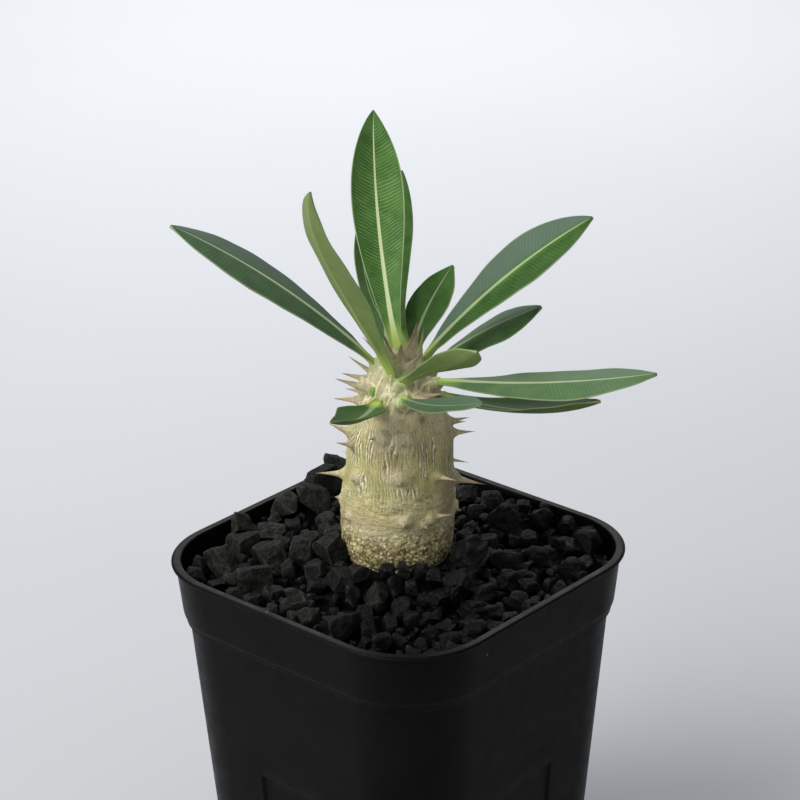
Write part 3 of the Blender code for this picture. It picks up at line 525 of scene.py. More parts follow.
def stone_material():
    """Rough lava stone: tone by stone, dust on flats, pale wear on edges, pits, painted shade on flat and
    hollow faces and by the bed.
    """
    shader = Shader("lava_gravel_finish")
    place = shader.place()
    tone = shader.attribute("tone")
    wear_and_shade = shader.attribute("wear_and_shade")
    grain = shader.noise(place, 1100, 8, 0.68)
    # Dust, grain and pale wear grow with the tone, which also carries painted light
    dust_and_light_share = shader.range(tone, 0.0, 1.0, 0.15, 1.0)
    patched = shader.range(shader.noise(place, 170, 4), 0.46, 0.70, 0.0, 0.55)
    grained = shader.range(grain, 0.52, 0.72, 0.0, 0.50)
    edged = shader.range(wear_and_shade, 0.30, 0.80, 0.0, 0.55)
    colour = shader.mix(tone, STONE_TINTS["coal"], STONE_TINTS["ash"])
    colour = shader.mix(shader.times(patched, dust_and_light_share), colour, STONE_TINTS["dust"])
    colour = shader.mix(shader.times(grained, dust_and_light_share), colour, STONE_TINTS["grain"])
    colour = shader.tinted(colour, STONE_TINTS["pore"], grain, 0.48, 0.30, 0.70)
    colour = shader.mix(shader.times(edged, dust_and_light_share), colour, STONE_TINTS["edge"])
    # Painted shade on the flat and hollow faces, all but the convex edges
    colour = shader.tinted(colour, STONE_TINTS["hollow"], wear_and_shade, 0.08, 0.0, 0.55)
    # Painted shade low down by the bed, less on paler stones
    dark = shader.maths("SUBTRACT", 1.0, shader.times(tone, 0.35))
    bed_shade = shader.range(shader.attribute("bed_shade"), 0.05, 0.70, 0.0, 0.97)
    colour = shader.mix(shader.times(dark, bed_shade), colour, STONE_TINTS["bed_shade"])
    pits = shader.range(shader.voronoi(place, 1300), 0.0, 0.40)
    normal = shader.bump(grain, 0.85, 0.0006, shader.bump(pits, 0.60, 0.00035))
    return shader.finish(colour, shader.range(tone, 0.0, 0.6, 0.46, 0.80), normal, 0.10)


def bark_lines(shader, place, height, blotch):
    """Weights of the upright strands, of the gaps between them and of the level lines below them."""
    right, back, _up = shader.split(shader.vectors("SUBTRACT", place, stem_centre(STRANDS_ROUND)))
    turned = shader.times(shader.maths("ARCTAN2", back, right), BARK_STRANDS / (2 * math.pi))
    wander = shader.noise(shader.stretched(place, (1, 1, 0.40)), 380, 3)
    wander = shader.range(wander, 0.3, 0.7, -STRAND_WANDER, STRAND_WANDER)
    upright = shader.maths("PINGPONG", shader.maths("ADD", turned, wander), 0.5)
    uneven = shader.maths("ADD", height, shader.range(blotch, 0.3, 0.7, -0.004, 0.004))
    above = shader.range(uneven, *STRANDS_SET_IN)
    patchy = shader.noise(shader.stretched(place, (1, 1, 0.45)), 130, 4)
    amount = shader.maths("MAXIMUM", shader.range(patchy, 0.45, 0.65, 0.08, 0.55),
                          shader.range(shader.attribute("lined"), 0.15, 0.60))
    strands = shader.times(shader.times(shader.range(upright, 0.22, 0.10), above), amount)
    gaps = shader.times(shader.times(shader.range(upright, 0.30, 0.46), above), amount)
    level = shader.cracks(place, 1500, (0.22, 0.22, 1), 0.0012, 300)
    below = shader.times(shader.range(level, 0.14, 0.03), shader.range(above, 1.0, 0.0))
    return strands, gaps, shader.times(below, shader.range(height, *LEVEL_LINES_SET_IN))


def bark_material():
    """Greenish beige bark: pale ridges, partly painted highlight, dark olive painted shade in creases,
    speckled brown foot and cream crown.
    """
    shader = Shader("pale_bark_finish")
    place = shader.place()
    height = shader.split(place)[2]
    ridge = shader.attribute("ridge")
    tint = shader.attribute("tint")
    root = shader.attribute("spine_root")
    green = shader.attribute("green")
    blotch = shader.noise(place, 210, 5)
    speck = shader.noise(place, 2100, 5, 0.65)
    strands, gaps, level_lines = bark_lines(shader, place, height, blotch)
    colour = shader.ramp(shader.range(height, *BARK_SPAN), BARK_BY_HEIGHT)
    colour = shader.tinted(colour, BARK_TINTS["olive"], blotch, 0.42, 0.64, 0.55)
    colour = shader.tinted(colour, BARK_TINTS["dry"], shader.noise(place, 95, 3), 0.50, 0.66, 0.45)
    # Pale tint on the relief's tops: partly the bark's pale colour, partly painted highlight
    colour = shader.tinted(colour, BARK_TINTS["ridge"], ridge, 0.45, 0.85, 0.90)
    # Painted shade in the bark's creases, weaker up in the crown
    depth = shader.range(height, *CROWN_SETS_IN, 0.85, 0.45)
    crease_shade = shader.times(shader.range(ridge, 0.30, 0.02), depth)
    colour = shader.mix(crease_shade, colour, BARK_TINTS["crease_shade"])
    colour = shader.mix(shader.times(gaps, 0.90), colour, BARK_TINTS["gap"])
    colour = shader.mix(strands, colour, BARK_TINTS["strand"])
    colour = shader.mix(shader.times(level_lines, 0.45), colour, BARK_TINTS["level line"])
    for name, value, low, high, most in (
        ("brown scar", tint, 0.5, 0.0, 0.80), ("pale scar", tint, 0.5, 1.0, 0.65),
        ("spine root", root, 0.20, 0.85, 0.70), ("fresh", green, 0.15, 0.60, 0.60),
        ("leaf foot", green, 0.60, 0.85, 0.70),
    ):
        colour = shader.tinted(colour, BARK_TINTS[name], value, low, high, most)
    foot = shader.times(shader.range(speck, 0.56, 0.68), shader.range(height, *FOOT_SETS_IN))
    colour = shader.mix(foot, colour, BARK_TINTS["foot speck"])
    colour = shader.tinted(colour, BARK_TINTS["pore"], speck, 0.47, 0.30, 0.75)
    normal = shader.bump(speck, 0.40, 0.00030)
    normal = shader.bump(strands, 0.70, 0.00030, normal)
    normal = shader.bump(level_lines, 0.35, 0.00020, normal)
    return shader.finish(colour, shader.range(speck, 0.3, 0.7, 0.66, 0.52), normal, 0.35)


def spine_material():
    """Woody spine: khaki root, pale pinkish shaft with streaks and a dark brown tip."""
    shader = Shader("spine_finish")
    along = shader.attribute("along")
    streak = shader.noise(shader.place(), 1500, 5)
    fresh, dull = (shader.ramp(along, stops) for stops in (SPINE_BY_LENGTH, DULL_SPINE_BY_LENGTH))
    colour = shader.mix(shader.attribute("tone"), fresh, dull)
    colour = shader.tinted(colour, STREAK_BROWN, streak, 0.44, 0.70, 0.45)
    return shader.finish(colour, shader.range(streak, 0.3, 0.7, 0.42, 0.58),
                         shader.bump(streak, 0.35, 0.0003), 0.45)


def bud_material():
    shader = Shader("bud_finish")
    mottle = shader.noise(shader.place(), 1500, 4)
    return shader.finish(shader.ramp(mottle, BUD_GREENS), 0.45, shader.bump(mottle, 0.3, 0.0002), 0.45)


def side_veins(shader, place, across):
    """Distance from the nearest side vein, 0 on the vein and 0.5 midway; the veins bend to the tip."""
    bent = shader.times(shader.maths("POWER", across, 1.15), VEIN_SWEEP)
    wander = shader.range(shader.noise(place, 170, 2), 0.3, 0.7, -VEIN_WANDER, VEIN_WANDER)
    run = shader.maths("ADD", shader.maths("SUBTRACT", shader.attribute("distance"), bent), wander)
    return shader.maths("PINGPONG", shader.maths("DIVIDE", run, VEIN_SPACING), 0.5)


def leaf_material(name, tints, gloss):
    """Waxy blade: pale midrib and petiole, fine side veins, mottled green, painted grey sheen streaked along
    the veins and painted deeper-green shade.
    """
    shader = Shader(name)
    place = shader.place()
    along = shader.attribute("along")
    across = shader.maths("ABSOLUTE", shader.attribute("sideways"))
    ribbed = shader.attribute("ribbed")
    painted_light = shader.attribute("painted_light")
    mottle = shader.noise(place, 260, 6)
    ridge = side_veins(shader, place, across)
    colour = shader.mix(shader.range(mottle, 0.32, 0.70), tints["dark"], tints["light"])
    colour = shader.tinted(colour, tints["light"], shader.noise(place, 75, 3), 0.42, 0.66, 0.35)
    # Painted grey sheen above 0, streaked along the side veins; painted deeper-green shade below 0
    hatched = shader.times(shader.range(painted_light, 0.0, 1.0), shader.range(ridge, 0.0, 0.5, 0.75, 1.15))
    colour = shader.mix(hatched, colour, tints["painted_light"])
    colour = shader.tinted(colour, PAINTED_SHADE_GREEN, painted_light, 0.0, -1.0)
    veins = shader.times(shader.range(ridge, 0.10, 0.0), shader.range(across, 0.98, 0.80))
    veins = shader.times(veins, shader.range(along, 0.06, 0.16))
    clear = shader.range(shader.noise(place, 320, 3), 0.36, 0.62, 0.35, 1.00)
    veins = shader.times(veins, shader.times(clear, shader.attribute("veined")))
    colour = shader.mix(veins, colour, tints["vein"])
    rib_width = shader.ramp(along, [(share, (width,) * 3) for share, width in RIB_WIDTHS])
    rib = shader.range(shader.maths("DIVIDE", across, rib_width), 1.20, 0.80)
    colour = shader.mix(shader.times(rib, ribbed), colour, tints["rib"])
    foot = shader.times(shader.range(along, 0.12, 0.01), shader.range(across, 1.0, 0.3, 0.35, 1.0))
    colour = shader.mix(foot, colour, FOOT_GREEN)
    # Painted highlight on the rounded margin
    margin = shader.times(shader.range(across, 0.940, 0.975), ribbed)
    colour = shader.mix(shader.times(margin, 0.75), colour, MARGIN_HIGHLIGHT_GREEN)
    normal = shader.bump(shader.range(ridge, 0.0, 0.30), 0.10, 0.00020)
    normal = shader.bump(shader.noise(place, 1500, 4), 0.12, 0.00015, normal)
    return shader.finish(colour, shader.range(mottle, 0.3, 0.7, gloss, gloss + 0.10), normal, 0.13)


# Meshes

def grid_object(name, points, wrap=False, materials=()):
    """Object whose faces join a grid of points, with the columns closed in a ring when wrap is set."""
    rows, columns = points.shape[:2]
    index = np.arange(rows * columns).reshape(rows, columns)
    left = index if wrap else index[:, :-1]
    right = np.roll(index, -1, axis=1) if wrap else index[:, 1:]
    faces = np.stack((left[:-1], right[:-1], right[1:], left[1:]), axis=-1).reshape(-1, 4)
    mesh = bpy.data.meshes.new(name)
    mesh.from_pydata(points.reshape(-1, 3).tolist(), [], faces.tolist())
    item = bpy.data.objects.new(name, mesh)
    bpy.context.scene.collection.objects.link(item)
    for entry in materials:
        mesh.materials.append(entry)
    mesh.update()
    return item


def bmesh_object(name, body):
    mesh = bpy.data.meshes.new(name)
    body.to_mesh(mesh)
    body.free()
    item = bpy.data.objects.new(name, mesh)
    bpy.context.scene.collection.objects.link(item)
    return item


def cap_ends(item, first_ring, last_ring):
    """Close a ringed grid with one face at each end."""
    body = bmesh.new()
    body.from_mesh(item.data)
    body.verts.ensure_lookup_table()
    body.faces.new([body.verts[index] for index in reversed(first_ring)])
    body.faces.new([body.verts[index] for index in last_ring])
    bmesh.ops.recalc_face_normals(body, faces=body.faces)
    body.to_mesh(item.data)
    body.free()


def capped_tube(name, rings):
    """Closed skin round stacked rings."""
    item = grid_object(name, rings, wrap=True)
    levels, sides = rings.shape[:2]
    cap_ends(item, range(sides), range((levels - 1) * sides, levels * sides))
    return item


def add_attribute(item, name, values):
    """Attribute on a mesh's points, from one value for all or one for each."""
    layer = item.data.attributes.new(name, "FLOAT", "POINT")
    full = np.full(len(item.data.vertices), values, dtype=np.float32)
    layer.data.foreach_set("value", full)


def point_vectors(mesh, name):
    """Places or normals of a mesh's points, one row for each."""
    values = np.empty(len(mesh.vertices) * 3)
    mesh.vertices.foreach_get(name, values)
    return values.reshape(-1, 3)


def join(name, items):
    """Join mesh objects into one, keeping their attributes."""
    bpy.ops.object.select_all(action="DESELECT")
    for item in items:
        item.select_set(True)
    bpy.context.view_layer.objects.active = items[0]
    bpy.ops.object.join()
    items[0].name = name
    items[0].data.name = name
    return items[0]


def shade(item, angle=None):
    item.data.shade_smooth()
    if angle is not None:
        item.data.set_sharp_from_angle(angle=math.radians(angle))


def paint(item, finish):
    """Give every face of a piece one material."""
    item.data.materials.clear()
    item.data.materials.append(finish)
    item.data.polygons.foreach_set("material_index", [0] * len(item.data.polygons))


def dress(item, slot, *nodes):
    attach(item, "root")
    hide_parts(*nodes)


# Pot

def smooth_step(value):
    clipped = min(1.0, max(0.0, value))
    return clipped * clipped * (3 - 2 * clipped)


def panel_sink(across, height):
    """Depth of the sunk panel in the middle of each side's lower half."""
    side = smooth_step((PANEL_HALF_WIDTH - abs(across)) / 0.0007 + 0.5)
    top = smooth_step((PANEL_TOP_Z - height) / 0.0008 + 0.5)
    return PANEL_DEPTH * side * top


def rounded_square(half, corner, height, sunk=False):
    """Ring of a square with round corners, with extra points on each flat side for the sunk panel."""
    edge = PANEL_HALF_WIDTH
    stops = [-edge - 0.0009, -edge - 0.0004, -edge, -edge + 0.0004, -edge + 0.0009, -edge / 2, 0.0]
    stops += [-value for value in reversed(stops[:-1])]
    points = []
    for quarter in range(4):
        turn = Matrix.Rotation(math.radians(90 * quarter), 3, "Z")
        for across in stops:
            depth = panel_sink(across, height) if sunk else 0.0
            points.append(turn @ Vector((half - depth, across, height)))
        for step in range(CORNER_STEPS + 1):
            angle = math.radians(90 * step / CORNER_STEPS)
            points.append(turn @ Vector((
                half - corner + corner * math.cos(angle), half - corner + corner * math.sin(angle), height,
            )))
    return points


def wall_corner(height):
    return BASE_CORNER + (WALL_CORNER - BASE_CORNER) * height / WALL_TOP_Z


def wall_half(height):
    return WALL_BASE_HALF + (WALL_TOP_HALF - WALL_BASE_HALF) * height / WALL_TOP_Z


def inner_half(height):
    """Half width of the pot's hollow at a height."""
    heights = (FLOOR_THICKNESS, STEP_LOW, STEP_HIGH, POT_HEIGHT - LIP_HEIGHT)
    outer_halves = (WALL_BASE_HALF, WALL_TOP_HALF, COLLAR_BOTTOM_HALF, COLLAR_TOP_HALF)
    return float(np.interp(height, heights, outer_halves)) - WALL_THICKNESS


def foot_rings():
    """Underside's edge and the rounding between it and the wall."""
    rings = [rounded_square(WALL_BASE_HALF - 0.0020, BASE_CORNER - 0.0012, 0.0)]
    for step in range(5):
        turn = math.radians(22.5 * step)
        half = WALL_BASE_HALF - FOOT_ROUND + FOOT_ROUND * math.sin(turn)
        rings.append(rounded_square(half, BASE_CORNER, FOOT_ROUND - FOOT_ROUND * math.cos(turn), step > 1))
    return rings


def wall_rings():
    """Sloping wall, with rings close together at the top of the sunk panel."""
    levels = [0.004, 0.012, 0.02, 0.03, 0.04, 0.048, 0.055, 0.065, 0.075, WALL_TOP_Z - 0.0008]
    levels += [PANEL_TOP_Z + offset for offset in (-0.0006, -0.0002, 0.0002, 0.0006)]
    return [rounded_square(wall_half(height), wall_corner(height), height, True) for height in sorted(levels)]


def collar_rings():
    """Step out from the wall and the collar up to the lip."""
    outline = [
        (WALL_TOP_HALF, WALL_CORNER, WALL_TOP_Z - 0.0003),
        (WALL_TOP_HALF + 0.0001, WALL_CORNER, WALL_TOP_Z),
        (COLLAR_BOTTOM_HALF - 0.0004, RIM_CORNER - 0.0006, COLLAR_BOTTOM_Z - 0.0006),
        (COLLAR_BOTTOM_HALF - 0.0001, RIM_CORNER - 0.0004, COLLAR_BOTTOM_Z - 0.0002),
        (COLLAR_BOTTOM_HALF, RIM_CORNER - 0.0004, COLLAR_BOTTOM_Z + 0.0004),
    ]
    rise = POT_HEIGHT - LIP_HEIGHT - 0.0004 - COLLAR_BOTTOM_Z
    for share in (0.3, 0.6, 1.0):
        half = COLLAR_BOTTOM_HALF + (COLLAR_TOP_HALF - COLLAR_BOTTOM_HALF) * share
        outline.append((half, RIM_CORNER - 0.0003, COLLAR_BOTTOM_Z + rise * share))
    return [rounded_square(*entry) for entry in outline]


def lip_rings():
    """Round bead of the lip and the flat top inside it."""
    rings = []
    for turn in range(-60, 91, 25):
        angle = math.radians(turn)
        rings.append(rounded_square(RIM_HALF - LIP_ROUND + LIP_ROUND * math.cos(angle), RIM_CORNER,
                                    POT_HEIGHT - LIP_ROUND + LIP_ROUND * math.sin(angle)))
    inner = inner_half(POT_HEIGHT) + 0.0003
    rings.append(rounded_square(inner, RIM_CORNER - 0.0012, POT_HEIGHT))
    rings.append(rounded_square(inner - 0.0002, RIM_CORNER - 0.0013, POT_HEIGHT - 0.0003))
    return rings


def inside_rings():
    """Hollow of the pot from under the lip down to the floor."""
    levels = (POT_HEIGHT - 0.0012, POT_HEIGHT - 0.006, STEP_HIGH, STEP_LOW, 0.06, 0.03, FLOOR_THICKNESS)
    return [rounded_square(inner_half(height), wall_corner(min(height, WALL_TOP_Z)) - 0.0008, height)
            for height in levels]


def build_pot():
    rings = foot_rings() + wall_rings() + collar_rings() + lip_rings() + inside_rings()
    pot = capped_tube("moulded_pot", np.array([[list(point) for point in ring] for ring in rings]))
    for side in range(4):
        cut_drain(pot, math.radians(45 + 90 * side))
    paint(pot, plastic_material())
    shade(pot, POT_SHARP)
    dress(pot, "black_plastic", "pot")


def cut_drain(pot, angle):
    body = bmesh.new()
    bmesh.ops.create_cone(body, cap_ends=True, segments=48, radius1=DRAIN_RADIUS, radius2=DRAIN_RADIUS,
                          depth=DRAIN_DEPTH)
    drain = bmesh_object("drain_cutter", body)
    drain.location = (DRAIN_OFFSET * math.cos(angle), DRAIN_OFFSET * math.sin(angle), 0.0)
    modifier = pot.modifiers.new("Drain", "BOOLEAN")
    modifier.operation = "DIFFERENCE"
    modifier.solver = "MANIFOLD"
    modifier.object = drain
    apply_modifiers(pot)
    bpy.data.objects.remove(drain, do_unlink=True)


def apply_modifiers(item):
    bpy.context.view_layer.update()
    graph = bpy.context.evaluated_depsgraph_get()
    result = bpy.data.meshes.new_from_object(item.evaluated_get(graph))
    item.modifiers.clear()
    item.data = result


# Stem

def spine_list():
    """Spines seen from the front, and pairs on the far side set by a turning rule."""
    listed = list(SPINES)
    draw = Random(11)
    for row, height in enumerate(BACK_SPINE_ROWS):
        for place in range(2):
            azimuth = BACK_SPINE_FROM + BACK_SPINE_STEP * place + BACK_SPINE_SHIFT * (row % 2)
            for turn in (-BACK_SPINE_PAIR, BACK_SPINE_PAIR):
                listed.append((azimuth + turn * 0.4, height + draw.uniform(-0.8, 0.8), draw.uniform(3.0, 5.5),
                               draw.uniform(0, 20), turn, draw.uniform(1.3, 1.8), 0.0))
    return listed


def tube(path, widths, sides, broad, flatness):
    """Rings round a list of centres; broad is the axis that keeps its full width."""
    rings = []
    for index, (centre, width) in enumerate(zip(path, widths)):
        before = path[max(0, index - 1)]
        after = path[min(len(path) - 1, index + 1)]
        along = (after - before).normalized()
        side = (broad - along * broad.dot(along)).normalized()
        other = along.cross(side)
        ring = []
        for step in range(sides):
            angle = 2 * math.pi * step / sides
            ring.append(list(centre + side * (width * math.cos(angle))
                             + other * (width * flatness * math.sin(angle))))
        rings.append(ring)
    return np.array(rings)


def spine_places():
    """Surface point, heading, sideways axis, length, root radius and flatness of each spine."""
    for azimuth, height, length, rise, turn, root, flat in spine_list():
        reach = stem_radius(height * MM) * SPINE_SEAT
        surface = stem_centre(height * MM) + direction(azimuth, 0) * reach
        heading = direction(azimuth + turn, rise)
        yield surface, heading, direction(azimuth + 90, 0), length * MM, root * MM, flat


def spine_radius(root, length, offset, flat):
    """Radius at a distance out from the bark: flared at the root, then lean, or a broad wedge if flat."""
    share = min(1.0, max(0.0, offset / length))
    flare = math.exp(-max(0.0, offset) / SPINE_FLARE)
    lean = 0.60 * (1 - share) ** 1.2 + 0.45 * flare
    broad = 0.88 * (1 - share) ** 0.85 + 0.17 * flare
    return max(root * (lean + (broad - lean) * flat), 0.05 * MM)


def spine_flatness(flat):
    return 0.85 - 0.50 * flat


def stem_body():
    """Smooth body of the stem above the soil, as stacked rings."""
    trunk = np.linspace(STEM_LOW, STEM_SHOULDER, 56)
    crown = np.linspace(STEM_SHOULDER + 0.0004, STEM_TOP * MM - 0.0001, 10)
    heights = np.concatenate((trunk, crown))
    rings = []
    for height in heights:
        centre = stem_centre(height)
        above_soil = min(1.0, max(0.0, (height - SWELL_FROM) / SWELL_OVER))
        ring = []
        for step in range(STEM_SIDES):
            angle = 2 * math.pi * step / STEM_SIDES
            swell = 1 + above_soil * (SWELL_TWICE * math.sin(2 * angle + 0.7)
                                      + SWELL_THRICE * math.sin(3 * angle + height * 90))
            radius = max(stem_radius(height) * swell, 0.0002)
            ring.append([centre.x + radius * math.cos(angle), centre.y + radius * math.sin(angle), height])
        rings.append(ring)
    return capped_tube("stem_body", np.array(rings))


def build_root():
    """Tapered root inside the soil."""
    levels = [entry[0] * MM for entry in STEM_OUTLINE if entry[0] * MM < STEM_LOW] + [STEM_LOW + 0.001]
    rings = []
    for height in levels:
        centre = stem_centre(height)
        radius = stem_radius(height)
        angles = [2 * math.pi * step / ROOT_SIDES for step in range(ROOT_SIDES)]
        rings.append([[centre.x + radius * math.cos(angle), centre.y + radius * math.sin(angle), height]
                      for angle in angles])
    root = capped_tube("root", np.array(rings))
    for name, value in (("ridge", 0.0), ("tint", 0.4), ("lined", 0.0), ("spine_root", 0.0), ("green", 0.0)):
        add_attribute(root, name, value)
    paint(root, bpy.data.materials["pale_bark_finish"])
    shade(root)
    dress(root, "pale_bark", "stem")


def leaf_cushion(spec):
    """Fleshy stub that carries a leaf, from inside the stem to a lip round the leaf's foot."""
    azimuth, _reach, height = spec[0]
    foot, along, side, _normal = leaf_frames(spec, (0.0,))[0]
    root_height = height * MM - CUSHION_SINK
    root_reach = max(0.0, stem_radius(root_height) - CUSHION_ROOT_DEPTH)
    root = stem_centre(root_height) + direction(azimuth, 0) * root_reach
    path = [root.lerp(foot + along * CUSHION_LIP, share) for share, _width in CUSHION]
    widths = [width * MM for _share, width in CUSHION]
    return capped_tube("cushion", tube(path, widths, CUSHION_SIDES, side, CUSHION_FLATNESS))


def spine_foot(surface, heading, side, length, root, flat):
    """Flared mound under a spine, which melts into the bark."""
    offsets = [-2.0 * MM, -0.5 * MM] + [length * share for share in (0.0, 0.08, 0.16, 0.25, 0.36)]
    swell = (1.15, 1.15, 1.12, 1.06, 0.98, 0.88, 0.60)
    path = [surface + heading * offset for offset in offsets]
    widths = [spine_radius(root, length, offset, flat) * more for offset, more in zip(offsets, swell)]
    return capped_tube("spine_foot", tube(path, widths, SPINE_SIDES, side, spine_flatness(flat) + 0.1))


def remesh(item, voxel):
    modifier = item.modifiers.new("Remesh", "REMESH")
    modifier.mode = "VOXEL"
    modifier.voxel_size = voxel
    apply_modifiers(item)
    smooth = item.modifiers.new("Smooth", "SMOOTH")
    smooth.factor = 0.5
    smooth.iterations = 5
    apply_modifiers(item)


def warts(point):
    """Low rounded bumps packed side by side, higher in their middles; about a millimetre across."""
    bend = noise.noise_vector(point * 420) * 0.8 * MM
    distances, _points = noise.voronoi((Vector((point.x, point.y, point.z * 1.15)) + bend) * 880)
    return smooth_step((distances[1] - distances[0]) * 1.8)


def wrinkles(point):
    """Fine upright folds that wander and meet."""
    bend = noise.noise_vector(point * 330) * 0.45 * MM
    place = Vector((point.x + bend.x, point.y + bend.y, (point.z + bend.z) * 0.17))
    distances, _points = noise.voronoi(place * 1050)
    return 1 - smooth_step((distances[1] - distances[0]) * 3.6)


def rings_round(point):
    """Fine level folds round the stem."""
    bend = noise.noise_vector(point * 210) * 0.6 * MM
    place = Vector((point.x * 0.30, point.y * 0.30, point.z + bend.z))
    distances, _points = noise.voronoi(place * 1050)
    return 1 - smooth_step((distances[1] - distances[0]) * 3.4)


def crown_folds(point):
    """Upright pleats of the crown, about two millimetres apart."""
    bend = noise.noise_vector(point * 260) * 0.6 * MM
    place = Vector((point.x + bend.x, point.y + bend.y, (point.z + bend.z) * 0.22))
    return 1 - smooth_step(abs(noise.noise(place * 520)) * 3.2)


def bark_relief(point, bundled):
    """Height of the bark over the smooth stem in metres, and its ridge value from 0 to 1: pale ridges, partly
    painted highlight, near 1 and painted crease shade near 0.
    """
    height = point.z + noise.noise(point * 150) * 2.2 * MM
    low = 1 - smooth_step((height - 0.1065) / 0.006)
    ringed = smooth_step((height - 0.1055) / 0.005) * (1 - smooth_step((height - 0.1155) / 0.006))
    high = smooth_step((height - 0.1130) / 0.007)
    lumps = noise.noise(point * 240)
    creases = 1 - abs(noise.noise(Vector((point.x * 0.45, point.y * 0.45, point.z * 1.2)) * 160))
    relief = lumps * 0.20 * MM - smooth_step((creases - 0.90) / 0.10) * (0.24 - 0.19 * high) * MM
    ridge = 0.0
    if low > 0:
        bump = warts(point)
        rough = noise.noise(point * 1700)
        relief += low * ((bump - 0.55) * 0.20 * MM + rough * 0.06 * MM)
        ridge += low * (0.02 + 0.78 * bump + 0.50 * rough + 0.5 * noise.noise(point * 600))
    if ringed > 0:
        fold = rings_round(point)
        relief += ringed * (fold - 0.4) * 0.10 * MM
        ridge += ringed * (0.30 + 0.25 * fold)
    if high > 0:
        fold = wrinkles(point)
        relief += high * (fold - 0.4) * (0.05 + 0.13 * bundled) * MM
        ridge += high * (0.30 + fold * 0.40 * bundled)
    crown = smooth_step((height - 0.1365) / 0.004)
    if crown > 0:
        fold = crown_folds(point)
        relief += crown * (fold - 0.5) * 0.42 * MM
        ridge += crown * (fold - 0.45) * 0.9
    return relief, ridge


def patch_weight(places, azimuth, height, half_width, half_height):
    """How much each point belongs to an oval patch of the bark."""
    outward = direction(azimuth, 0)
    tangent = direction(azimuth + 90, 0)
    centre = stem_centre(height * MM) + outward * stem_radius(height * MM)
    offset = places - np.array(centre)
    across = offset @ np.array(tangent) / (half_width * MM)
    up = offset[:, 2] / (half_height * MM)
    facing = offset @ np.array(outward) > -5 * MM
    return np.exp(-(across ** 2 + up ** 2) * 1.1) * facing


def tubercles():
    """Pale swellings under the short spines, in the terms of the scars."""
    return [(azimuth, height, root * 1.3, root * 1.1, 0.42, 0.80)
            for azimuth, height, length, _rise, _turn, root, _flat in SPINES if length < SHORT_SPINE]


def scar_weights(places):
    """Swell and tint that the scars and tubercles give."""
    swell = np.zeros(len(places))
    tint = np.full(len(places), 0.5)
    for *oval, proud, shade_of in [*SCARS, *tubercles()]:
        weight = patch_weight(places, *oval)
        swell += weight * proud * MM
        tint += (shade_of - tint) * np.clip(weight * 1.3, 0, 1)
    return swell, tint


def bundle_weights(places):
    """Where the pale upright lines crowd together."""
    weights = np.zeros(len(places))
    for oval in LINE_BUNDLES:
        weights = np.maximum(weights, patch_weight(places, *oval))
    return weights


def nearness(places, targets, reach):
    """One at any of the target points, fading to nothing at the reach."""
    least = np.full(len(places), 1.0)
    for target in targets:
        gap = np.sqrt(((places - np.array(target)) ** 2).sum(axis=1))
        least = np.minimum(least, gap / reach)
    return np.clip(1 - least, 0, 1)


def build_stem():
    parts = [stem_body()]
    parts += [leaf_cushion(spec) for spec in LEAVES]
    parts += [spine_foot(*place) for place in spine_places()]
    stem = join("bark", parts)
    remesh(stem, STEM_VOXEL)
    places = point_vectors(stem.data, "co")
    normals = point_vectors(stem.data, "normal")
    roots = [surface + heading * min(0.2 * length, 1.0 * MM)
             for surface, heading, _side, length, _root, _flat in spine_places()]
    near_spine = nearness(places, roots, SPINE_MOUND)
    feet = [leaf_frames(spec, (0.0,))[0][0] for spec in LEAVES]
    near_leaf = nearness(places, feet, CUSHION_REACH)
    swell, tint = scar_weights(places)
    bundles = bundle_weights(places)
    bark = np.array([bark_relief(Vector(place), bundled) for place, bundled in zip(places, bundles)])
    calm = (1 - 0.6 * near_spine) * (1 - 0.5 * near_leaf)
    places += normals * (bark[:, 0] * calm + swell * (1 - near_leaf))[:, None]
    stem.data.vertices.foreach_set("co", places.reshape(-1))
    # The ridge value sets the painted highlight and the painted crease shade; near spines and leaves it is
    # drawn to a middle value
    add_attribute(stem, "ridge", np.clip(bark[:, 1] * calm + 0.3 * (1 - calm), 0, 1))
    add_attribute(stem, "tint", tint)
    add_attribute(stem, "lined", bundles)
    add_attribute(stem, "spine_root", near_spine)
    add_attribute(stem, "green", near_leaf)
    paint(stem, bark_material())
    shade(stem)
    dress(stem, "pale_bark", "stem")


def build_spines():
    """Sharp spines that rise out of the mounds, slightly bowed; short ones keep the bark's colour."""
    draw = Random(31)
    shares = [step / SPINE_STEPS for step in range(SPINE_STEPS + 1)]
    made = []
    for surface, heading, side, length, root, flat in spine_places():
        sideways = side * length * draw.uniform(-0.04, 0.04)
        bow = sideways + Vector((0, 0, 1)) * length * draw.uniform(-0.03, 0.05)
        offsets = [length * (share * 1.06 - 0.06) for share in shares]
        path = [surface + heading * offset + bow * share * share for offset, share in zip(offsets, shares)]
        widths = [spine_radius(root, length, offset, flat) * (0.86 + 0.14 * share)
                  for offset, share in zip(offsets, shares)]
        item = capped_tube("spine", tube(path, widths, SPINE_SIDES, side, spine_flatness(flat)))
        add_attribute(item, "along", np.repeat(shares, SPINE_SIDES))
        add_attribute(item, "tone", 1.0 if length < SHORT_SPINE * MM else draw.uniform(0.0, 0.6))
        made.append(item)
    spines = join("spines", made)
    paint(spines, spine_material())
    shade(spines, SPINE_SHARP)
    dress(spines, "pale_bark", "stem")


def build_bud():
    """Small green bud in the pale cushion on the crown's left."""
    azimuth, height = BUD
    outward = direction(azimuth, 12)
    side = direction(azimuth + 90, 0)
    centre = stem_centre(height * MM) + direction(azimuth, 0) * (stem_radius(height * MM) + 0.3 * MM)
    upright = outward.cross(side)
    shares = [step / 10 for step in range(11)]
    path = [centre - upright * 1.15 * MM * math.cos(math.pi * share) for share in shares]
    widths = [max(1.05 * MM * math.sin(math.pi * share) ** 0.7, 0.05 * MM) for share in shares]
    bud = capped_tube("bud", tube(path, widths, 24, side, 0.75))
    paint(bud, bud_material())
    shade(bud)
    dress(bud, "leaf_green", "stem")


# Leaves

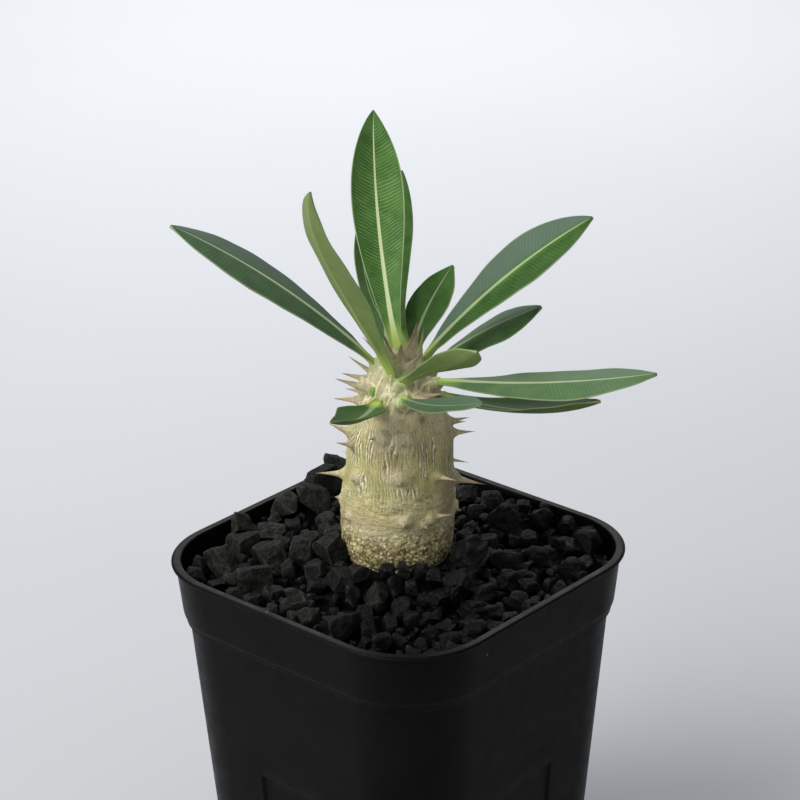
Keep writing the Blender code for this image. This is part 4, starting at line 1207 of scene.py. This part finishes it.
def leaf_frames(spec, shares):
    """Midrib point, heading, side and upward normal at each share of the leaf's length."""
    (azimuth, reach, height), (heading, turn, rise, tip_rise), blade = spec
    length, _width, roll, tip_roll, _trough = blade
    pace = length * MM / LEAF_STEPS
    point = stem_centre(height * MM) + direction(azimuth, 0) * reach * MM
    points = [point.copy()]
    for step in range(LEAF_STEPS):
        share = (step + 0.5) / LEAF_STEPS
        point = point + direction(heading + turn * share, rise + (tip_rise - rise) * share) * pace
        points.append(point.copy())
    frames = []
    for share in shares:
        along = direction(heading + turn * share, rise + (tip_rise - rise) * share)
        level = direction(heading + turn * share + 90, 0)
        upward = along.cross(level)
        rolled = math.radians(roll + (tip_roll - roll) * share) * min(1.0, share * ROLL_SETS_IN)
        side = level * math.cos(rolled) + upward * math.sin(rolled)
        normal = upward * math.cos(rolled) - level * math.sin(rolled)
        frames.append((points[round(share * LEAF_STEPS)], along, side, normal))
    return frames


def blade_share(share, widest, fullness):
    """Half width along the leaf as a share of the greatest half width."""
    if share < widest:
        return PETIOLE_SHARE + (1 - PETIOLE_SHARE) * math.sin(math.pi / 2 * share / widest) ** 1.5
    past = (share - widest) / (1 - widest)
    return max(1 - past ** fullness, 0.01) ** 0.85


def rib_thickness(share):
    return float(np.interp(share, (0, 0.12, 0.35, 1.0), (1.7, 1.5, 1.0, 0.65))) * MM


def rib_strength(column, share):
    """How much a point belongs to the pale midrib: broad at the foot, a thread at the tip."""
    width = float(np.interp(share, *zip(*RIB_WIDTHS)))
    return smooth_step(1.5 - abs(column) / width)


def blade_sections(spec, widest, fullness):
    """Share of the length, half width and frame of each ring, from inside the cushion to the tip."""
    width = spec[2][1]
    shares = [round(LEAF_STEPS * (row / LEAF_ROWS) ** 0.94) / LEAF_STEPS for row in range(LEAF_ROWS + 1)]
    halves = [max(blade_share(share, widest, fullness) * width / 2, 0.12) * MM for share in shares]
    frames = leaf_frames(spec, shares)
    centre, along, side, normal = frames[0]
    sunk = (centre - along * FOOT_SINK, along, side, normal)
    return list(zip([0.0, *shares], [halves[0] * FOOT_SHARE, *halves], [sunk, *frames]))


def blade_columns():
    """Places across the blade from -1 to 1 over its upper face, then back under its lower face."""
    over = [math.sin(math.pi / 2 * (2 * index / LEAF_COLUMNS - 1)) for index in range(LEAF_COLUMNS + 1)]
    return over + over[-2:0:-1]


def blade_point(section, column, upper, trough, seed):
    """Point of the skin: troughed and waved blade, thin round margin, grooved midrib with a keel below."""
    share, half, (centre, _along, side, normal) = section
    wave = noise.noise(Vector((share * 4.0, seed, 0.0))) * WAVE_HEIGHT * smooth_step(share / 0.3)
    ripple = noise.noise(Vector((share * 7.0, column, seed + 4.0))) * RIPPLE_HEIGHT * column ** 2
    middle = centre + side * column * half + normal * trough * half * abs(column) ** 1.5
    middle = middle + normal * (wave * column ** 2 + ripple) * min(1.0, half / (3 * MM))
    flat = EDGE_THICKNESS * 0.75 * math.sqrt(max(0.0, 1 - column ** 2)) ** 0.35
    keel = (rib_thickness(share) - flat) * math.exp(-(column * half / KEEL_WIDTH) ** 2)
    if not upper:
        return list(middle - normal * (flat / 2 + keel * 0.70))
    groove = GROOVE_DEPTH * rib_strength(column, share) * smooth_step((share - 0.1) / 0.2)
    return list(middle + normal * (flat / 2 + keel * 0.30 - groove))


def build_leaf(number, spec, looks, materials):
    """Blade as one closed skin: upper face, rounded margin and under face."""
    length, _width, _roll, _tip_roll, trough = spec[2]
    veined, ribbed, painted_light_low, painted_light_high, widest, fullness = looks
    sections = blade_sections(spec, widest, fullness)
    columns = blade_columns()
    points = [[blade_point(section, column, index <= LEAF_COLUMNS, trough, number * LEAF_SEED)
               for index, column in enumerate(columns)] for section in sections]
    leaf = grid_object(f"blade_{number:02d}", np.array(points), wrap=True, materials=materials)
    under = np.zeros((len(sections) - 1, len(columns)), dtype=np.int32)
    under[:, LEAF_COLUMNS:] = 1
    leaf.data.polygons.foreach_set("material_index", under.reshape(-1))
    sideways = np.tile(columns, len(sections))
    along = np.repeat([section[0] for section in sections], len(columns))
    add_attribute(leaf, "veined", veined)
    add_attribute(leaf, "ribbed", ribbed)
    # Painted sheen of each half, painted shade below 0, blended across the midrib
    add_attribute(leaf, "painted_light", np.interp(sideways, (-0.25, 0.25), (painted_light_low, painted_light_high)))
    add_attribute(leaf, "sideways", sideways)
    add_attribute(leaf, "along", along)
    add_attribute(leaf, "distance", along * length)
    cap_ends(leaf, range(len(columns)), range(len(along) - len(columns), len(along)))
    shade(leaf)
    dress(leaf, "leaf_green", f"leaf_{number:02d}")


def build_leaves():
    upper = leaf_material("leaf_upper_finish", UPPER_TINTS, UPPER_GLOSS)
    under = leaf_material("leaf_under_finish", UNDER_TINTS, UNDER_GLOSS)
    for index, (spec, looks) in enumerate(zip(LEAVES, LEAF_LOOKS)):
        build_leaf(index + 1, spec, looks, (upper, under))


# Soil and gravel

def bed_height(right, back):
    """Height of the gravel bed: low at the walls, mounded round the stem and at the back."""
    stem_distance = math.hypot(right - STEM_RIGHT, back - STEM_BACK)
    mound = MOUND_HEIGHT * min(1.0, max(0.0, 1 - (stem_distance - MOUND_FROM) / MOUND_REACH))
    for at_right, at_back, height, reach in MOUNDS:
        mound = max(mound, height * (1 - math.hypot(right - at_right, back - at_back) / reach))
    return BED_TOP + mound


def front_axes(x, y):
    """Distances right of and behind the pot's centre of a point on the pot's own axes."""
    across = PLANT_FRONT + math.pi / 2
    right = x * math.cos(across) + y * math.sin(across)
    back = -(x * math.cos(PLANT_FRONT) + y * math.sin(PLANT_FRONT))
    return right, back


def inside_hollow(x, y, margin):
    """Whether a point lies inside the pot's hollow at the gravel's height, less a margin."""
    half = inner_half(BED_TOP) - margin
    corner = WALL_CORNER - margin
    out_x = max(0.0, abs(x) - (half - corner))
    out_y = max(0.0, abs(y) - (half - corner))
    return math.hypot(out_x, out_y) <= corner


def stone_corners(right, back, length, breadth, height, turn, lift, draw):
    """Corners of a blocky stone with uneven, tapered sides, tilted, turned and part sunk in the bed."""
    tapers = draw.uniform(*STONE_TAPER), draw.uniform(*STONE_TAPER)
    slope = draw.uniform(-STONE_SLOPE, STONE_SLOPE)
    roll = draw.uniform(-STONE_ROLL, STONE_ROLL)
    turned = math.radians(turn)
    centre_height = bed_height(right, back) + lift + height * STONE_RISE
    corners = []
    for level in (-1, 1):
        along_taper, across_taper = tapers if level > 0 else (1.0, 1.0)
        for side in (-1, 1):
            for end in (-1, 1):
                along = end * along_taper * draw.uniform(*STONE_UNEVEN) * length / 2
                level_across = side * across_taper * draw.uniform(*STONE_UNEVEN) * breadth / 2
                level_up = level * draw.uniform(*STONE_UNEVEN) * height / 2
                across = level_across * math.cos(roll) - level_up * math.sin(roll)
                up = level_across * math.sin(roll) + level_up * math.cos(roll) + along * slope
                corners.append(seen_from_front(right + along * math.cos(turned) - across * math.sin(turned),
                                               back + along * math.sin(turned) + across * math.cos(turned),
                                               centre_height + up))
    return corners


def crowded(right, back, length, other, spacing):
    """Whether a stone of this length would lie too close to another of the list."""
    least = spacing * (length + (other[2] + other[3]) / 2)
    return math.hypot(right - other[0], back - other[1]) < least


def stone_list():
    """The larger stones, then smaller ones drawn into the free places between them."""
    draw = Random(5)
    listed = []
    for right, back, *sizes, turn, lift in STONES:
        length, breadth, height = (size * growth * MM for size, growth in zip(sizes, STONE_GROWTH))
        listed.append((right * MM, back * MM, length, breadth, height, turn, lift * MM))
    wanted = len(STONES) + FILL_STONES
    for _attempt in range(FILL_TRIES):
        if len(listed) == wanted:
            break
        x, y = draw.uniform(-FILL_REACH, FILL_REACH), draw.uniform(-FILL_REACH, FILL_REACH)
        length = draw.uniform(*FILL_LENGTH) * MM
        breadth = length * draw.uniform(*FILL_SLENDER)
        right, back = front_axes(x, y)
        from_stem = math.hypot(right - STEM_RIGHT, back - STEM_BACK)
        if not inside_hollow(x, y, breadth / 3) or from_stem < STEM_CLEARANCE + breadth / 3:
            continue
        if any(crowded(right, back, length, other, FILL_SPACING) for other in listed):
            continue
        listed.append((right, back, length, breadth, length * draw.uniform(*FILL_FLAT),
                       draw.uniform(0, 180), draw.uniform(-FILL_LIFT, FILL_LIFT) * MM))
    return listed


def push_inside(point, height_limit):
    """Keep a point of the gravel off the pot's wall and off the stem."""
    half = inner_half(min(point.z, height_limit)) - 0.0003
    corner = WALL_CORNER - 0.0008
    inner = half - corner
    out_x = max(0.0, abs(point.x) - inner)
    out_y = max(0.0, abs(point.y) - inner)
    reach = math.hypot(out_x, out_y)
    if reach > corner:
        share = corner / reach
        point.x = math.copysign(inner + out_x * share, point.x) if out_x else point.x
        point.y = math.copysign(inner + out_y * share, point.y) if out_y else point.y
    centre = stem_centre(point.z)
    gap = Vector((point.x - centre.x, point.y - centre.y, 0))
    least = stem_radius(point.z) + 0.0002
    if 0 < gap.length < least:
        gap = gap.normalized() * least
        point.x = centre.x + gap.x
        point.y = centre.y + gap.y
    return point


def even_mesh(body, limit):
    """Split long edges until the faces are about as wide as the limit."""
    for _round in range(6):
        long_edges = [edge for edge in body.edges if edge.calc_length() > limit]
        if not long_edges:
            break
        bmesh.ops.subdivide_edges(body, edges=long_edges, cuts=1)
        bmesh.ops.triangulate(body, faces=body.faces)


def chipped_corners(corners, draw):
    """Three points for each corner, a little way along its edges, so that every corner is broken off."""
    points = []
    for index, corner in enumerate(corners):
        depth = draw.choice(CHIP_DEPTHS)
        for neighbour in (index ^ 1, index ^ 2, index ^ 4):
            points.append(corner.lerp(corners[neighbour], depth * draw.uniform(0.5, 1.3)))
    return points


def wrap_hull(body):
    """Replace a body's faces by the convex hull of its points."""
    bmesh.ops.delete(body, geom=body.edges, context="EDGES_FACES")
    hull = bmesh.ops.convex_hull(body, input=body.verts)
    bmesh.ops.delete(body, geom=[item for item in hull["geom_interior"] if item.is_valid], context="VERTS")


def break_faces(body, draw):
    """Slices broken off a stone at odd angles."""
    for _slice in range(draw.randint(*STONE_SLICES)):
        centre = sum((vert.co for vert in body.verts), Vector()) / len(body.verts)
        facing = Vector([draw.gauss(0, 1) for _axis in range(3)]).normalized()
        reach = max((vert.co - centre).dot(facing) for vert in body.verts)
        cut = centre + facing * reach * draw.uniform(*SLICE_REACH)
        bmesh.ops.bisect_plane(body, geom=[*body.verts, *body.edges, *body.faces], plane_no=facing,
                               plane_co=cut, clear_outer=True)
    wrap_hull(body)


def refined_stone(corners, turn, limit, chips, flaky, seed, draw):
    """Angular hull with broken corners and rough faces; flaky stones are grooved along their length."""
    body = bmesh.new()
    for corner in chipped_corners(corners, draw):
        body.verts.new(corner)
    wrap_hull(body)
    break_faces(body, draw)
    even_mesh(body, limit)
    bmesh.ops.smooth_vert(body, verts=body.verts, factor=0.35,
                          use_axis_x=True, use_axis_y=True, use_axis_z=True)
    bmesh.ops.recalc_face_normals(body, faces=body.faces)
    body.normal_update()
    offset = Vector((seed * 3.1, seed * 1.7, seed * 2.3))
    along = direction(turn + 90, 0)
    for vert in body.verts:
        rough = noise.noise(vert.co * 1100 + offset) * 0.10 * MM
        broken = noise.noise(vert.co * 380 + offset) * chips
        scoop = max(0.0, noise.noise(vert.co * 230 + offset * 2) - 0.10) * chips * 2.0
        run = along * vert.co.dot(along)
        groove = abs(noise.noise((vert.co - run) * 620 + run * 110 + offset * 3))
        shift = rough + broken - scoop + flaky * (groove - 0.2) * chips * 2.2
        vert.co = push_inside(vert.co + vert.normal * shift, POT_HEIGHT - LIP_HEIGHT)
    return body


def wear_and_shade_values(item):
    """How far each point stands out from its neighbours: pale wear on the convex edges, painted shade on the
    flat and hollow faces.
    """
    body = bmesh.new()
    body.from_mesh(item.data)
    body.normal_update()
    values = []
    for vert in body.verts:
        bend = 0.0
        for edge in vert.link_edges:
            other = edge.other_vert(vert)
            bend += (vert.co - other.co).normalized().dot(vert.normal)
        values.append(bend / max(1, len(vert.link_edges)))
    body.free()
    return np.clip(np.array(values) * 2.2, 0, 1)


def bed_depth(item):
    """Share of painted shade: one at the bed and below it, nothing three millimetres above it."""
    values = []
    for vert in item.data.vertices:
        level = bed_height(*front_axes(vert.co.x, vert.co.y))
        values.append(min(1.0, max(0.0, 1 - (vert.co.z - level) / (3 * MM))))
    return values


def finish_stone(body, tone):
    stone = bmesh_object("stone", body)
    add_attribute(stone, "tone", min(1.0, tone))
    add_attribute(stone, "wear_and_shade", wear_and_shade_values(stone))
    add_attribute(stone, "bed_shade", bed_depth(stone))
    return stone


def gather_stones(name, made, finish):
    """One piece of the gravel from its stones."""
    piece = join(name, made)
    paint(piece, finish)
    shade(piece, STONE_SHARP)
    dress(piece, "lava_gravel", "gravel")


def build_gravel():
    """Stones paler and dustier at the back left and darker at the front, partly painted light and shade;
    black flaky ones at the right.
    """
    draw = Random(23)
    tones = Random(47)
    chips = Random(71)
    finish = stone_material()
    listed = stone_list()
    made = []
    for index, entry in enumerate(listed):
        right, back, length, _breadth, _height, turn, _lift = entry
        corners = stone_corners(*entry, draw)
        flaky = smooth_step(0.5 + right / (18 * MM))
        broken = min(STONE_CHIP, length * BREAK_SHARE)
        body = refined_stone(corners, turn, STONE_FACE, broken, flaky, index + 1, chips)
        # Painted light on the back left stones and painted shade on the front ones, through their tone
        painted_light_share = smooth_step(0.5 + (back - right + 12 * MM) / (44 * MM))
        made.append(finish_stone(body, tones.uniform(0.0, 0.55) * (0.20 + 0.80 * painted_light_share) + 0.25 * painted_light_share))
    gather_stones("large_stones", made[:len(STONES)], finish)
    gather_stones("small_stones", made[len(STONES):], finish)
    build_grit(listed, finish)
    build_bed(finish)


def build_grit(listed, finish):
    """Small chips that lie in the hollows between the stones."""
    draw = Random(61)
    made = []
    for _attempt in range(GRIT_TRIES):
        if len(made) == GRIT_STONES:
            break
        x, y = draw.uniform(-FILL_REACH, FILL_REACH), draw.uniform(-FILL_REACH, FILL_REACH)
        right, back = front_axes(x, y)
        length = draw.uniform(*GRIT_LENGTH) * MM
        from_stem = math.hypot(right - STEM_RIGHT, back - STEM_BACK)
        if not inside_hollow(x, y, 0.0012) or from_stem < STEM_CLEARANCE + 0.001:
            continue
        if any(crowded(right, back, length, other, GRIT_SPACING) for other in listed):
            continue
        turn = draw.uniform(0, 180)
        entry = (right, back, length, length * draw.uniform(*GRIT_SLENDER), length * draw.uniform(*GRIT_FLAT),
                 turn, draw.uniform(*GRIT_LIFT) * MM)
        body = refined_stone(stone_corners(*entry, draw), turn, GRIT_FACE, length * BREAK_SHARE, GRIT_FLAKY,
                             len(made) + GRIT_SEED, draw)
        made.append(finish_stone(body, draw.uniform(0.0, 0.5)))
        listed.append(entry)
    gather_stones("grit", made, finish)


def bed_points():
    """Grid over the pot's hollow at the bed's height, roughened and kept off the wall and the stem."""
    half = inner_half(BED_TOP)
    points = np.zeros((BED_CELLS + 1, BED_CELLS + 1, 3))
    for row in range(BED_CELLS + 1):
        for column in range(BED_CELLS + 1):
            x = half * (2 * column / BED_CELLS - 1)
            y = half * (2 * row / BED_CELLS - 1)
            rough = noise.noise(Vector((x, y, 0)) * 420) * 0.8 * MM
            rough += noise.noise(Vector((x, y, 7)) * 1300) * 0.3 * MM
            level = bed_height(*front_axes(x, y)) - 0.6 * MM + rough
            points[row, column] = push_inside(Vector((x, y, level)), POT_HEIGHT)
    return points


def close_below(item, underside):
    """Give a sheet straight sides down to an underside, and close it there."""
    body = bmesh.new()
    body.from_mesh(item.data)
    rim = [edge for edge in body.edges if edge.is_boundary]
    grown = bmesh.ops.extrude_edge_only(body, edges=rim)["geom"]
    lowered = {entry for entry in grown if isinstance(entry, bmesh.types.BMVert)}
    for vert in lowered:
        vert.co.z = underside
    floor_edges = [entry for entry in grown if isinstance(entry, bmesh.types.BMEdge)
                   and lowered.issuperset(entry.verts)]
    bmesh.ops.contextual_create(body, geom=floor_edges)
    bmesh.ops.recalc_face_normals(body, faces=body.faces)
    body.to_mesh(item.data)
    body.free()


def build_bed(finish):
    """Rough floor of the gravel, given the full painted shade, so that it shows dark between the stones."""
    bed = grid_object("gravel_bed", bed_points())
    for name, value in (("tone", 0.0), ("wear_and_shade", 0.0), ("bed_shade", 1.0)):
        add_attribute(bed, name, value)
    close_below(bed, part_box("gravel")[0][2])
    paint(bed, finish)
    shade(bed)
    dress(bed, "lava_gravel", "gravel")


# Stage, light and camera

def build_stage():
    body = bmesh.new()
    bmesh.ops.create_grid(body, x_segments=8, y_segments=8, size=FLOOR_SIZE)
    floor = bmesh_object("floor", body)
    shader = Shader("floor_finish")
    colour = shader.ramp(shader.noise(shader.place(), 3, 3), FLOOR_GREYS)
    paint(floor, shader.finish(colour, 0.85, None, 0.2))


def area_light(name, size, power, colour, place, target):
    """Soft round light that looks at a target."""
    light = bpy.data.lights.new(name, "AREA")
    light.shape = "DISK"
    light.size = size
    light.energy = power
    light.color = colour
    item = bpy.data.objects.new(name, light)
    bpy.context.scene.collection.objects.link(item)
    item.location = place
    item.rotation_euler = (target - place).to_track_quat("-Z", "Y").to_euler()


def build_light():
    """Pale sky, a window from the front left and above, and a light on the floor behind."""
    world = bpy.data.worlds.new("studio")
    world.use_nodes = True
    background = world.node_tree.nodes["Background"]
    background.inputs["Color"].default_value = SKY_COLOUR
    background.inputs["Strength"].default_value = SKY_STRENGTH
    bpy.context.scene.world = world
    middle = Vector((0, 0, LIT_HEIGHT))
    area_light("window", *WINDOW, middle + direction(*WINDOW_FROM) * WINDOW_DISTANCE, middle)
    far_floor = direction(180, 0) * BACKDROP_BEHIND
    area_light("backdrop", *BACKDROP, far_floor + Vector((0, 0, BACKDROP_ABOVE)), far_floor)


def build_camera():
    backward = direction(0, VIEW_RISE)
    place = Vector((0, 0, POT_HEIGHT)) + backward * VIEW_DISTANCE
    aim = seen_from_front(AIM_RIGHT, 0, AIM_HEIGHT)
    forward = (aim - place).normalized()
    right = forward.cross(Vector((0, 0, 1))).normalized()
    upward = right.cross(forward)
    camera_data = bpy.data.cameras.new("camera")
    camera_data.lens = LENS
    camera_data.sensor_width = SENSOR_WIDTH
    camera_data.clip_start, camera_data.clip_end = VIEW_CLIP
    camera = bpy.data.objects.new("camera", camera_data)
    bpy.context.scene.collection.objects.link(camera)
    turned_right = right * math.cos(VIEW_ROLL) + upward * math.sin(VIEW_ROLL)
    turned_up = upward * math.cos(VIEW_ROLL) - right * math.sin(VIEW_ROLL)
    matrix = Matrix((turned_right, turned_up, -forward)).transposed().to_4x4()
    matrix.translation = place
    camera.matrix_world = matrix
    bpy.context.scene.camera = camera


noise.seed_set(BARK_SEED)
bpy.context.scene.view_settings.view_transform = "Standard"
build_camera()
build_light()
build_stage()
build_pot()
build_gravel()
build_stem()
build_root()
build_spines()
build_bud()
build_leaves()
paint(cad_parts["potting_mix"], soil_material())
